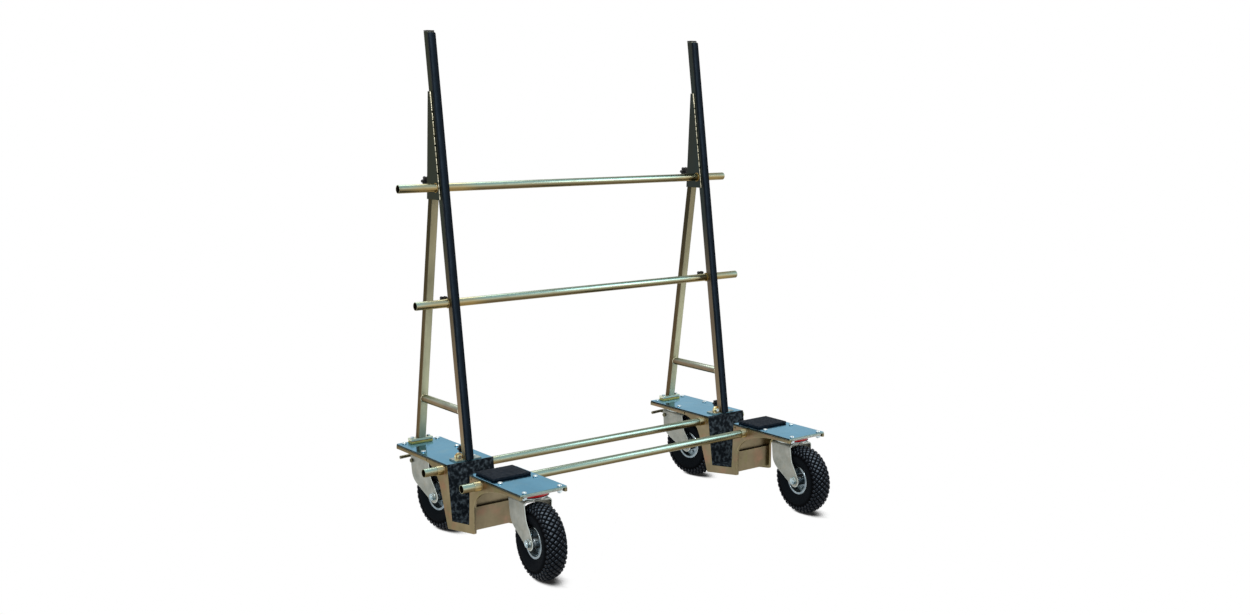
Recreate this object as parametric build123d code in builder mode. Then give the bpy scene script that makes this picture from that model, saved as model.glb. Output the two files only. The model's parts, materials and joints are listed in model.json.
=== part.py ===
"""Glass cart: two wheeled end units with leaning masts, joined by four long tubes.

Millimetres, +Z up. X runs along the tubes and the glass leans on the -Y side of the masts.
The origin is on the floor under the middle of the whole cart.
"""
import os
from math import cos, hypot, radians, sin, sqrt, tan

from build123d import *

os.makedirs("parts", exist_ok=True)

# Whole cart
unit_spacing = 1215
unit_width = 187
lean = 8
mast_height = 1815
weld_gap = 0.05
running_gap = 0.05
free_gap = 0.3

# Decks
deck_height = 304
deck_thickness = 6
deck_corner_radius = 4
rear_deck_depth = 375
front_deck_depth = 315
trough_mouth = 154

# Side plates
plate_thickness = 10
strip_height = 13
bar_height = 30
plate_corner_radius = 6
arm_front = 178
arm_foot = 2
rear_arm_slope = 19.6
rear_arm_fillet = 115
arch_length = 222
arch_height = 95
lift_hole_radius = 4
lift_holes = [(-162, -15), (150, -13)]

# Glass trough
trough_depth = 200
trough_width = 118
sheet = 4
panel_front = 165
panel_bottom_drop = 198
panel_top_drop = 116

# Rubber
liner = 6
liner_end_gap = 3
facing = 10
facing_foot = 2
facing_top_gap = 7
groove_width = 4
groove_depth = 1.5
pad_length = 150
pad_depth = 118
pad_height = 10
pad_setback = 8
pad_chamfer = 1.5

# Tubes and their sleeves
tube_radius = 15
tube_wall = 2
tube_length = 1505
tube_overhang = {"top": 170, "middle": 144, "lower_rear": 170, "lower_front": 166}
sleeve_wall = 1.6
lower_tube_drop = 24.5
lower_rear_tube_y = 31
lower_front_tube_y = -221
lower_sleeve_reach = 28
middle_tube_height = 858
top_tube_height = 1265
tube_behind_leg = 4
upper_sleeve_reach = 2
boss_radius = 8
boss_reach = 30

# Mast
leg_width = 30
leg_depth = 25
leg_wall = 2.5
rear_leg_lean = 8.55
rung_rise = 171
rung_radius = 15
gusset = 5
gusset_below = 43
gusset_above = 338
gusset_lap = 15
cap_height = 5
cap_plug = 18
plug_gap = 0.2

# Mast feet
foot_plate = 5
front_foot_length = 104
front_foot_front = 6
front_foot_depth = 50
front_spigot = 55
front_foot_bolts = 68
front_foot_bolt_y = 31
lug_width = 32
lug_height = 32
lug_thickness = 8
lug_front = 12
lug_bolt_height = 17
lug_bolt_end = 2
rear_foot_length = 90
rear_foot_depth = 30
rear_foot_height = 15
rear_foot_base = 4
rear_foot_groove = 2.5
rear_foot_groove_depth = 2
rear_foot_bolts = 68
rear_foot_bolt_inset = 15
rear_leg_inset = 3
rear_spigot = 40

# Bolts
castor_bolt_radius = 5
castor_bolt_hole = 5.3
castor_bolt_head = 8.5
castor_bolt_head_height = 5.5
castor_bolt_head_round = 3.85
castor_nut_flats = 17
castor_nut_height = 8
castor_bolt_end = 3
foot_bolt_radius = 4
foot_bolt_flats = 13
foot_bolt_head_height = 5.5
foot_bolt_hole = 4.1

# Castors
castor_bolts_x = 140
castor_bolts_y = 146
castor_plate_x = 164
castor_plate_y = 168
castor_plate = 6
castor_plate_corner = 10
rear_castor_inset = 91
front_castor_inset = 84
rear_castor_turn = 7
front_castor_turn = -5
castor_trail = 73
race_radius = 46
race_height = 8
seal_outer_radius = 52
seal_inner_radius = 38
seal_height = 7
seal_gap = 0.5
kingpin_radius = 12
kingpin_head_radius = 17
kingpin_head_height = 5.5

# Castor forks
crown_thickness = 6
crown_corner_radius = 12
crown_inner_radius = 8
lower_race_radius = 58
lower_race_height = 8.5
crown_gap = 100
leg_gap = 83
leg_bend_rise = 35
fork_sheet = 4
fork_lead = 55
fork_trail_top = 56
fork_lower_slope = 29
fork_upper_slope = 60
fork_trail_slope = 4
fork_end_radius = 25
fork_lead_fillet = 50
fork_trail_fillet = 40

# Wheels
tyre_crown_gap = 2
tyre_width = 80
tyre_shoulder_width = 63
tyre_shoulder_drop = 9
tyre_bulge_drop = 40
tyre_wall = 8
rim_radius = 54.5
rim_bed_radius = 50
rim_sheet = 3
rim_inner_width = 54
rim_disc = 5
hub_radius = 20
hub_length = 70
rim_bolt_circle = 32
rim_bolt_flats = 10
rim_bolt_height = 6
rim_bolt_count = 4
axle_radius = 8
axle_nut_flats = 24
axle_nut_height = 8
axle_washer_radius = 14.5
axle_washer = 2
axle_end = 3
spacer_radius = 12

# Brake pedals, on the rear castors
pedal_pivot_lead = 45
pedal_pivot_drop = 22
pedal_pin_radius = 5
pedal_pin_head_radius = 8
pedal_pin_head = 4
pedal_barrel_radius = 9
pedal_barrel_length = 80
pedal_arm_length = 71
pedal_arm_drop = 2
pedal_arm_height = 11
pedal_arm_width = 14
pedal_bar_radius = 6
pedal_bar_length = 112
pedal_shoe_gap = 4.7
pedal_shoe_radius = 6
pedal_shoe_width = 44
pedal_shoe_angle = -70

# Clamp knobs
knob_stud_radius = 4
knob_stud_hole = 4.3
tube_knob_radius = 20
tube_knob_lobe = 6
tube_knob_height = 14
middle_knob_base = 46
top_knob_gap = 38
top_knob_rise = 10
foot_knob_radius = 14
foot_knob_lobe = 4.2
foot_knob_height = 14
foot_knob_rise = 32
foot_knob_standoff = 18
knob_lobes = 6
knob_edge_fillet = 2

# Derived sizes
sin_lean = sin(radians(lean))
cos_lean = cos(radians(lean))
tan_lean = tan(radians(lean))
cos_rear = cos(radians(rear_leg_lean))
tan_rear = tan(radians(rear_leg_lean))

deck_underside = deck_height - deck_thickness
strip_bottom = deck_underside - strip_height
rear_castor_y = rear_deck_depth - rear_castor_inset
front_castor_y = front_castor_inset - trough_mouth - front_deck_depth
inner_width = unit_width - 2 * plate_thickness
castor_plate_underside = deck_underside - castor_plate
race_underside = castor_plate_underside - race_height
seal_underside = race_underside - seal_height
lower_race_top = seal_underside - seal_gap
crown_top = lower_race_top - lower_race_height
crown_underside = crown_top - crown_thickness
tyre_radius = (crown_underside - tyre_crown_gap) / 2
tyre_shoulder_radius = tyre_radius - tyre_shoulder_drop
tyre_bulge_radius = tyre_radius - tyre_bulge_drop
leg_bend_height = tyre_radius + leg_bend_rise
pedal_pivot_height = crown_top - pedal_pivot_drop
fork_half_width = leg_gap / 2 + fork_sheet
crown_half_width = crown_gap / 2 + fork_sheet
sleeve_bore = tube_radius + free_gap
sleeve_radius = sleeve_bore + sleeve_wall
leg_front = facing - liner
leg_rear = leg_front + leg_depth
foot_top = deck_height + foot_plate
rear_foot_top = deck_height + rear_foot_height
cap_underside = mast_height - cap_height
lower_tube_height = deck_height - lower_tube_drop
rung_height = deck_height + rung_rise
foot_knob_z = deck_height + foot_knob_rise
gusset_bottom = top_tube_height - gusset_below
gusset_top = top_tube_height + gusset_above

# The middle of the cart: along X between the tubes' ends, along Y between wheels and pedals
shortest_overhang = min(tube_overhang.values())
longest_overhang = max(tube_overhang.values())
units_middle = unit_spacing / 2 + (longest_overhang + shortest_overhang - tube_length) / 2
pedal_reach = pedal_pivot_lead + pedal_arm_length + pedal_bar_radius
rear_turn = radians(rear_castor_turn)
front_turn = radians(front_castor_turn)
rear_reach = rear_castor_y + pedal_reach * cos(rear_turn) + pedal_bar_length / 2 * sin(rear_turn)
front_reach = front_castor_y - (castor_trail + tyre_radius) * cos(front_turn)
rest_y = -(rear_reach + front_reach) / 2

unit_centres = {
    "left": units_middle - unit_spacing / 2,
    "right": units_middle + unit_spacing / 2,
}


def lean_y(behind, height):
    """Y at a height, on the leaning line this far behind the glass rest line."""
    return rest_y + behind / cos_lean + (height - deck_height) * tan_lean


def lean_point(behind, along):
    """Point (y, z) this far behind the glass rest line and this far up along it."""
    y = rest_y + behind * cos_lean + along * sin_lean
    z = deck_height - behind * sin_lean + along * cos_lean
    return (y, z)


def floor_z(y, depth):
    """Height at y of the line this deep below the decks, square to the glass rest line."""
    return deck_height - depth / cos_lean - (y - rest_y) * tan_lean


def rear_leg_y(ahead, height):
    """Y at a height, on the line this far ahead of the rear leg's rear face."""
    rear_face = rest_y + rear_deck_depth - rear_leg_inset
    return rear_face - ahead / cos_rear - (height - deck_height) * tan_rear


def legs_meet(ahead):
    """Point (y, z) where a line of the rear leg meets the front leg's rear face."""
    gap = rear_leg_y(ahead, deck_height) - lean_y(leg_rear, deck_height)
    height = deck_height + gap / (tan_lean + tan_rear)
    return (lean_y(leg_rear, height), height)


def upper_tube_y(height):
    """Y of an upper tube's axis: just behind the front leg's rear face."""
    return lean_y(leg_rear, height) + tube_behind_leg


def front_leg_section(inset, bottom, top):
    """Corners (y, z) of the front leg between two heights, drawn in by an inset."""
    front = leg_front + inset
    rear = leg_rear - inset
    return [
        (lean_y(front, bottom), bottom),
        (lean_y(rear, bottom), bottom),
        (lean_y(rear, top), top),
        (lean_y(front, top), top),
    ]


def rear_leg_section(inset, bottom, top):
    """Corners (y, z) of the rear leg between two heights, drawn in by an inset."""
    rear = inset
    front = leg_depth - inset
    return [
        (rear_leg_y(rear, bottom), bottom),
        (rear_leg_y(front, bottom), bottom),
        (rear_leg_y(front, top), top),
        (rear_leg_y(rear, top), top),
    ]


def trough_section(top):
    """Corners (y, z) of the trough's inside, carried up to a height above the decks."""
    floor_rear = lean_point(0, -trough_depth)
    floor_front = lean_point(-trough_width, -trough_depth)
    mouth_front = (rest_y - trough_mouth, deck_height)
    rise = (top - floor_front[1]) / (deck_height - floor_front[1])
    front_top = floor_front[0] + rise * (mouth_front[0] - floor_front[0])
    return [(lean_y(0, top), top), floor_rear, floor_front, (front_top, top)]


def bolt_points(unit_x, middle_y):
    """The four castor bolts' places on a deck."""
    points = []
    for x in (-castor_bolts_x / 2, castor_bolts_x / 2):
        for y in (-castor_bolts_y / 2, castor_bolts_y / 2):
            points.append((unit_x + x, rest_y + middle_y + y))
    return points


def front_foot_points(unit_x):
    """The front mast foot's two bolts."""
    y = rest_y + front_foot_bolt_y
    return [(unit_x - front_foot_bolts / 2, y), (unit_x + front_foot_bolts / 2, y)]


def rear_foot_points(unit_x):
    """The rear mast foot's two bolts."""
    y = rest_y + rear_deck_depth - rear_foot_bolt_inset
    return [(unit_x - rear_foot_bolts / 2, y), (unit_x + rear_foot_bolts / 2, y)]


def lug_centre(unit_x):
    """The front foot's lug seen from the front: its middle at the lug bolt."""
    return (unit_x - front_foot_length / 2 + lug_width / 2, deck_height + lug_bolt_height)


def clamp_plane(unit_x, height):
    """Plane on an upper tube's axis, facing back along its clamp knob's stud."""
    rise = radians(top_knob_rise) if height == top_tube_height else 0
    origin = (unit_x, upper_tube_y(height), height)
    return Plane(origin=origin, x_dir=(1, 0, 0), z_dir=(0, cos(rise), sin(rise)))


def knob_base(height):
    """How far behind an upper tube's axis its clamp knob starts; the top one clears the rear leg."""
    if height == middle_tube_height:
        return middle_knob_base
    rise = radians(top_knob_rise)
    room = rear_leg_y(0, height) - upper_tube_y(height)
    return room / (cos(rise) + sin(rise) * tan_rear) + top_knob_gap


def foot_knob_plane(unit_x):
    """Plane on the front leg's rear face at the foot knob, facing out along its stud."""
    origin = (unit_x, lean_y(leg_rear, foot_knob_z), foot_knob_z)
    return Plane(origin=origin, x_dir=(1, 0, 0), z_dir=(0, 1, 0))


def side_plates(unit_x):
    """The pair of cut steel plates that carry the decks and the trough."""
    planes = [
        Plane.YZ.offset(unit_x - unit_width / 2),
        Plane.YZ.offset(unit_x + unit_width / 2 - plate_thickness),
    ]
    notch = trough_section(deck_underside)
    arm_front_y = rest_y - arm_front
    arm_foot_y = rest_y + arm_foot
    bar_depth = trough_depth + bar_height
    arm_heel = (arm_foot_y, floor_z(arm_foot_y, bar_depth))
    arm_toe = (arm_front_y, floor_z(arm_front_y, bar_depth))
    arm_run = (strip_bottom - arm_heel[1]) * tan(radians(rear_arm_slope))
    arm_corner = (arm_foot_y + arm_run, strip_bottom)
    arch_end = (arm_front_y - arch_length, strip_bottom - arch_height)
    front_end = rest_y - trough_mouth - front_deck_depth
    rear_end = rest_y + rear_deck_depth
    with BuildPart() as plates:
        with BuildSketch(*planes) as outline:
            with BuildLine():
                Polyline(
                    (arch_end[0], strip_bottom),
                    (front_end, strip_bottom),
                    (front_end, deck_underside),
                    notch[3],
                    notch[2],
                    notch[1],
                    notch[0],
                    (rear_end, deck_underside),
                    (rear_end, strip_bottom),
                    arm_corner,
                    arm_heel,
                    arm_toe,
                    (arm_front_y, arch_end[1]),
                )
                EllipticalCenterArc(arch_end, arch_length, arch_height, start_angle=0, arc_size=90)
            make_face()
            fillet(outline.vertices().sort_by_distance(arm_corner)[0], rear_arm_fillet)
            fillet(outline.vertices().sort_by_distance(arm_heel)[0], plate_corner_radius)
            fillet(outline.vertices().sort_by_distance(arm_toe)[0], plate_corner_radius)
            with Locations(*lower_tube_points()):
                Circle(sleeve_radius + weld_gap, mode=Mode.SUBTRACT)
            with Locations(*[(rest_y + y, deck_height + z) for y, z in lift_holes]):
                Circle(lift_hole_radius, mode=Mode.SUBTRACT)
        extrude(amount=plate_thickness)
    return plates.part


def lower_tube_points():
    """The two lower tubes' axes as (y, z)."""
    return [
        (rest_y + lower_rear_tube_y, lower_tube_height),
        (rest_y + lower_front_tube_y, lower_tube_height),
    ]


def rear_deck(unit_x):
    """The rear deck plate, under the mast and over the rear castor."""
    with BuildPart() as deck:
        with BuildSketch(Plane.XY.offset(deck_underside)):
            with Locations((unit_x, rest_y + rear_deck_depth / 2)):
                RectangleRounded(unit_width, rear_deck_depth, deck_corner_radius)
            with Locations(*bolt_points(unit_x, rear_castor_y)):
                Circle(castor_bolt_hole, mode=Mode.SUBTRACT)
            with Locations(*front_foot_points(unit_x), *rear_foot_points(unit_x)):
                Circle(foot_bolt_hole, mode=Mode.SUBTRACT)
        extrude(amount=deck_thickness)
    return deck.part


def front_deck(unit_x):
    """The front deck plate, over the front castor."""
    with BuildPart() as deck:
        with BuildSketch(Plane.XY.offset(deck_underside)):
            with Locations((unit_x, rest_y - trough_mouth - front_deck_depth / 2)):
                RectangleRounded(unit_width, front_deck_depth, deck_corner_radius)
            with Locations(*bolt_points(unit_x, front_castor_y)):
                Circle(castor_bolt_hole, mode=Mode.SUBTRACT)
        extrude(amount=deck_thickness)
    return deck.part


def trough(unit_x):
    """The folded sheet trough between the side plates, and the panel under its front."""
    inside = trough_section(deck_height)
    left_face = Plane.YZ.offset(unit_x - inner_width / 2)
    with BuildPart() as pan:
        with BuildSketch(left_face):
            with BuildLine():
                Polyline(*inside, close=True)
            make_face()
            offset(amount=sheet, kind=Kind.INTERSECTION)
            with BuildLine():
                Polyline(*inside, close=True)
            make_face(mode=Mode.SUBTRACT)
            with Locations((rest_y, deck_underside)):
                Rectangle(
                    2 * unit_width, 2 * unit_width, align=(Align.CENTER, Align.MIN), mode=Mode.SUBTRACT
                )
        extrude(amount=inner_width)
        with BuildSketch(left_face):
            with Locations((rest_y - panel_front, deck_height - panel_top_drop)):
                Rectangle(sheet, panel_bottom_drop - panel_top_drop, align=(Align.MIN, Align.MAX))
        extrude(amount=inner_width)
    return pan.part


def trough_liner(unit_x):
    """The rubber sheet on the trough's rear wall and floor."""
    floor_length = trough_width - liner_end_gap
    with BuildPart() as rubber:
        with BuildSketch(Plane.YZ.offset(unit_x - unit_width / 2)):
            with BuildLine():
                Polyline(
                    (lean_y(0, deck_height), deck_height),
                    lean_point(0, -trough_depth),
                    lean_point(-floor_length, -trough_depth),
                    lean_point(-floor_length, liner - trough_depth),
                    lean_point(-liner, liner - trough_depth),
                    (lean_y(-liner, deck_height), deck_height),
                    close=True,
                )
            make_face()
        extrude(amount=unit_width)
    return rubber.part


def deck_pad(unit_x):
    """The rubber pad at the rear edge of the front deck."""
    with BuildPart() as pad:
        with BuildSketch(Plane.XY.offset(deck_height)):
            with Locations((unit_x, rest_y - trough_mouth - pad_setback - pad_depth / 2)):
                Rectangle(pad_length, pad_depth)
        extrude(amount=pad_height)
        chamfer(pad.faces().sort_by(Axis.Z)[-1].edges(), pad_chamfer)
    return pad.part


def tube_sleeves(unit_x):
    """The welded sleeves that the four tubes slide through."""
    lower_start = unit_x - unit_width / 2 - lower_sleeve_reach
    lower_length = unit_width + lower_sleeve_reach
    upper_end = unit_x + leg_width / 2
    with BuildPart() as sleeves:
        with BuildSketch(Plane.YZ.offset(lower_start)):
            with Locations(*lower_tube_points()):
                Circle(sleeve_radius)
                Circle(sleeve_bore, mode=Mode.SUBTRACT)
        extrude(amount=lower_length)
        for height, lap in ((middle_tube_height, 0), (top_tube_height, gusset)):
            length = leg_width + lap + upper_sleeve_reach
            with BuildSketch(Plane.YZ.offset(upper_end - length)):
                with Locations((upper_tube_y(height), height)):
                    Circle(sleeve_radius)
            extrude(amount=length)
            with BuildSketch(clamp_plane(unit_x, height)):
                Circle(boss_radius)
            extrude(amount=boss_reach)
            with BuildSketch(Plane.YZ.offset(upper_end - length)):
                with Locations((upper_tube_y(height), height)):
                    Circle(sleeve_bore)
            extrude(amount=length, mode=Mode.SUBTRACT)
            with BuildSketch(clamp_plane(unit_x, height)):
                Circle(knob_stud_hole)
            extrude(amount=boss_reach, mode=Mode.SUBTRACT)
    return sleeves.part


def fasteners(unit_x):
    """The castor bolts with their nuts, the mast feet's bolts and the lug's bolt."""
    castor_points = bolt_points(unit_x, rear_castor_y) + bolt_points(unit_x, front_castor_y)
    feet = ((front_foot_points(unit_x), foot_top), (rear_foot_points(unit_x), rear_foot_top))
    lug_face = rest_y + lug_front
    lug_bolt_length = lug_thickness + lug_bolt_end
    shank_bottom = castor_plate_underside - castor_nut_height - castor_bolt_end
    with BuildPart() as bolts:
        with BuildSketch(Plane.XY.offset(deck_height)):
            with Locations(*castor_points):
                Circle(castor_bolt_head)
        extrude(amount=castor_bolt_head_height)
        rims = bolts.edges().filter_by(GeomType.CIRCLE).group_by(Axis.Z)[-1]
        fillet(rims, castor_bolt_head_round)
        with BuildSketch(Plane.XY.offset(shank_bottom)):
            with Locations(*castor_points):
                Circle(castor_bolt_radius)
        extrude(amount=deck_height - shank_bottom)
        with BuildSketch(Plane.XY.offset(castor_plate_underside - castor_nut_height)):
            with Locations(*castor_points):
                RegularPolygon(castor_nut_flats / 2, 6, major_radius=False)
        extrude(amount=castor_nut_height)
        for points, head_height in feet:
            with BuildSketch(Plane.XY.offset(head_height)):
                with Locations(*points):
                    RegularPolygon(foot_bolt_flats / 2, 6, major_radius=False)
            extrude(amount=foot_bolt_head_height)
            with BuildSketch(Plane.XY.offset(deck_underside)):
                with Locations(*points):
                    Circle(foot_bolt_radius)
            extrude(amount=head_height - deck_underside)
        with BuildSketch(Plane.XZ.offset(-lug_face)):
            with Locations(lug_centre(unit_x)):
                RegularPolygon(foot_bolt_flats / 2, 6, major_radius=False)
        extrude(amount=foot_bolt_head_height)
        with BuildSketch(Plane.XZ.offset(-lug_face - lug_bolt_length)):
            with Locations(lug_centre(unit_x)):
                Circle(foot_bolt_radius)
        extrude(amount=lug_bolt_length)
    return bolts.part


def castor_plates(unit_x):
    """The castors' fixed top plates, each with its upper race and kingpin."""
    centres = [(unit_x, rest_y + rear_castor_y), (unit_x, rest_y + front_castor_y)]
    head_bottom = crown_underside - free_gap - kingpin_head_height
    with BuildPart() as plates:
        with BuildSketch(Plane.XY.offset(castor_plate_underside)):
            with Locations(*centres):
                RectangleRounded(castor_plate_x, castor_plate_y, castor_plate_corner)
                with GridLocations(castor_bolts_x, castor_bolts_y, 2, 2):
                    Circle(castor_bolt_hole, mode=Mode.SUBTRACT)
        extrude(amount=castor_plate)
        with BuildSketch(Plane.XY.offset(race_underside)):
            with Locations(*centres):
                Circle(race_radius)
        extrude(amount=race_height)
        with BuildSketch(Plane.XY.offset(head_bottom)):
            with Locations(*centres):
                Circle(kingpin_radius)
        extrude(amount=race_underside - head_bottom)
        with BuildSketch(Plane.XY.offset(head_bottom)):
            with Locations(*centres):
                Circle(kingpin_head_radius)
        extrude(amount=kingpin_head_height)
    return plates.part


def swivel_seals(unit_x):
    """The ring seals between the castors' races."""
    with BuildPart() as seals:
        with BuildSketch(Plane.XY.offset(seal_underside)):
            with Locations((unit_x, rest_y + rear_castor_y), (unit_x, rest_y + front_castor_y)):
                Circle(seal_outer_radius)
                Circle(seal_inner_radius, mode=Mode.SUBTRACT)
        extrude(amount=seal_height)
    return seals.part


def front_leg(unit_x):
    """The tall leaning leg that the glass rests along."""
    with BuildPart() as leg:
        with BuildSketch(Plane.YZ.offset(unit_x)):
            with BuildLine():
                Polyline(*front_leg_section(0, foot_top, cap_underside), close=True)
            make_face()
            with Locations(*[(upper_tube_y(z), z) for z in (middle_tube_height, top_tube_height)]):
                Circle(sleeve_radius + weld_gap, mode=Mode.SUBTRACT)
        extrude(amount=leg_width / 2, both=True)
        with BuildSketch(Plane.YZ.offset(unit_x)):
            with BuildLine():
                Polyline(*front_leg_section(leg_wall, foot_top, cap_underside), close=True)
            make_face()
        extrude(amount=leg_width / 2 - leg_wall, both=True, mode=Mode.SUBTRACT)
        with BuildSketch(foot_knob_plane(unit_x).offset(-2 * leg_wall)):
            Circle(knob_stud_hole)
        extrude(amount=3 * leg_wall, mode=Mode.SUBTRACT)
    return leg.part


def rear_leg(unit_x):
    """The strut behind the mast, cut to meet the front leg."""
    outer = [
        (rear_leg_y(0, rear_foot_top), rear_foot_top),
        (rear_leg_y(leg_depth, rear_foot_top), rear_foot_top),
        legs_meet(leg_depth),
        legs_meet(0),
    ]
    inner = [
        (rear_leg_y(leg_wall, rear_foot_top), rear_foot_top),
        (rear_leg_y(leg_depth - leg_wall, rear_foot_top), rear_foot_top),
        legs_meet(leg_depth - leg_wall),
        legs_meet(leg_wall),
    ]
    with BuildPart() as leg:
        with BuildSketch(Plane.YZ.offset(unit_x)):
            with BuildLine():
                Polyline(*outer, close=True)
            make_face()
        extrude(amount=leg_width / 2, both=True)
        with BuildSketch(Plane.YZ.offset(unit_x)):
            with BuildLine():
                Polyline(*inner, close=True)
            make_face()
        extrude(amount=leg_width / 2 - leg_wall, both=True, mode=Mode.SUBTRACT)
        with BuildSketch(clamp_plane(unit_x, top_tube_height)):
            Circle(knob_stud_hole)
        extrude(amount=knob_base(top_tube_height), mode=Mode.SUBTRACT)
    return leg.part


def mast_braces(unit_x):
    """The gusset plate at the head of the mast and the round rung near its foot."""
    gusset_front = leg_rear - gusset_lap
    rung_bottom = rung_height - 2 * rung_radius
    rung_top = rung_height + 2 * rung_radius
    with BuildPart() as braces:
        with BuildSketch(Plane.XZ.offset(-rear_leg_y(0, rung_bottom))):
            with Locations((unit_x, rung_height)):
                Circle(rung_radius)
        extrude(amount=rear_leg_y(0, rung_bottom) - lean_y(leg_front, rung_bottom))
        with BuildSketch(Plane.YZ.offset(unit_x)):
            with BuildLine():
                Polyline(
                    (lean_y(leg_rear, rung_bottom), rung_bottom),
                    (rear_leg_y(leg_depth, rung_bottom), rung_bottom),
                    (rear_leg_y(leg_depth, rung_top), rung_top),
                    (lean_y(leg_rear, rung_top), rung_top),
                    close=True,
                )
            make_face()
        extrude(amount=leg_width, both=True, mode=Mode.INTERSECT)
        with BuildSketch(Plane.YZ.offset(unit_x - leg_width / 2 - gusset)):
            with BuildLine():
                Polyline(
                    (lean_y(gusset_front, gusset_bottom), gusset_bottom),
                    (rear_leg_y(0, gusset_bottom), gusset_bottom),
                    (lean_y(leg_rear, gusset_top), gusset_top),
                    (lean_y(gusset_front, gusset_top), gusset_top),
                    close=True,
                )
            make_face()
            with Locations((upper_tube_y(top_tube_height), top_tube_height)):
                Circle(sleeve_radius + weld_gap, mode=Mode.SUBTRACT)
        extrude(amount=gusset)
    return braces.part


def leg_facing(unit_x):
    """The grooved rubber strip down the front of the mast."""
    length = (mast_height - deck_height - facing_top_gap) / cos_lean - facing_foot
    foot = lean_point(leg_front, facing_foot)
    section = Plane(
        origin=(unit_x, foot[0], foot[1]), x_dir=(1, 0, 0), z_dir=(0, sin_lean, cos_lean)
    )
    with BuildPart() as strip:
        with BuildSketch(section):
            Rectangle(leg_width, facing, align=(Align.CENTER, Align.MAX))
            with Locations((0, -facing)):
                with GridLocations(2 * groove_width, 0, 3, 1):
                    Rectangle(groove_width, 2 * groove_depth, mode=Mode.SUBTRACT)
        extrude(amount=length)
    return strip.part


def mast_feet(unit_x):
    """The front foot's flange with its lug and spigot, and the rear foot's grooved block."""
    front_y = rest_y + front_foot_front + front_foot_depth / 2
    rear_y = rest_y + rear_deck_depth - rear_foot_depth / 2
    lug_x, lug_z = lug_centre(unit_x)
    lug_rear = rest_y + lug_front + lug_thickness
    lug_radius = lug_width / 2
    neck_bottom = deck_height + rear_foot_base
    neck_top = neck_bottom + rear_foot_groove
    block_layers = [
        (deck_height, neck_bottom, 0),
        (neck_bottom, neck_top, rear_foot_groove_depth),
        (neck_top, rear_foot_top, 0),
    ]
    plug_inset = leg_wall + plug_gap
    plug_half = leg_width / 2 - plug_inset
    rear_plug_top = rear_foot_top + rear_spigot
    with BuildPart() as feet:
        with BuildSketch(Plane.XY.offset(deck_height)):
            with Locations((unit_x, front_y)):
                Rectangle(front_foot_length, front_foot_depth)
        extrude(amount=foot_plate)
        for bottom, top, inset in block_layers:
            with BuildSketch(Plane.XY.offset(bottom)):
                with Locations((unit_x, rear_y)):
                    Rectangle(rear_foot_length - 2 * inset, rear_foot_depth - 2 * inset)
            extrude(amount=top - bottom)
        with BuildSketch(Plane.XZ.offset(-lug_rear)):
            with Locations((lug_x, deck_height)):
                Rectangle(lug_width, lug_height - lug_radius, align=(Align.CENTER, Align.MIN))
            with Locations((lug_x, deck_height + lug_height - lug_radius)):
                Circle(lug_radius)
            with Locations((lug_x, lug_z)):
                Circle(foot_bolt_hole, mode=Mode.SUBTRACT)
        extrude(amount=lug_thickness)
        with BuildSketch(Plane.XY.offset(deck_height)):
            with Locations(*front_foot_points(unit_x), *rear_foot_points(unit_x)):
                Circle(foot_bolt_hole)
        extrude(amount=rear_foot_height, mode=Mode.SUBTRACT)
        with BuildSketch(Plane.YZ.offset(unit_x)):
            with BuildLine():
                Polyline(*front_leg_section(plug_inset, foot_top, foot_top + front_spigot), close=True)
            make_face()
            with BuildLine():
                Polyline(*rear_leg_section(plug_inset, rear_foot_top, rear_plug_top), close=True)
            make_face()
        extrude(amount=plug_half, both=True)
    return feet.part


def leg_cap(unit_x):
    """The plastic cap in the top of the mast."""
    with BuildPart() as cap:
        with BuildSketch(Plane.YZ.offset(unit_x)):
            with BuildLine():
                Polyline(*front_leg_section(0, cap_underside, mast_height), close=True)
            make_face()
        extrude(amount=leg_width / 2, both=True)
        with BuildSketch(Plane.YZ.offset(unit_x)):
            with BuildLine():
                Polyline(
                    *front_leg_section(leg_wall + plug_gap, cap_underside - cap_plug, cap_underside),
                    close=True,
                )
            make_face()
        extrude(amount=leg_width / 2 - leg_wall - plug_gap, both=True)
    return cap.part


def tube(name, y, height):
    """One of the four tubes that join the units."""
    start = unit_centres["left"] - tube_overhang[name]
    with BuildPart() as long_tube:
        with BuildSketch(Plane.YZ.offset(start)):
            with Locations((y, height)):
                Circle(tube_radius)
                Circle(tube_radius - tube_wall, mode=Mode.SUBTRACT)
        extrude(amount=tube_length)
    return long_tube.part


def castor_planes(unit_x, castor_y, turn):
    """A turned castor's side plane (trail, up) and front plane (axle, up) on its swivel axis."""
    angle = radians(turn)
    trail_direction = (sin(angle), -cos(angle), 0)
    axle_direction = (cos(angle), sin(angle), 0)
    origin = (unit_x, rest_y + castor_y, 0)
    side = Plane(origin=origin, x_dir=trail_direction, z_dir=(-cos(angle), -sin(angle), 0))
    front = Plane(origin=origin, x_dir=axle_direction, z_dir=trail_direction)
    return side, front


def fork_section(leg_half, crown_half, top):
    """Corners (across, up) of a fork seen from the front: upright at the axle, wider at the crown."""
    return [
        (-leg_half, 0),
        (leg_half, 0),
        (leg_half, leg_bend_height),
        (crown_half, top),
        (-crown_half, top),
        (-leg_half, leg_bend_height),
    ]


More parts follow.
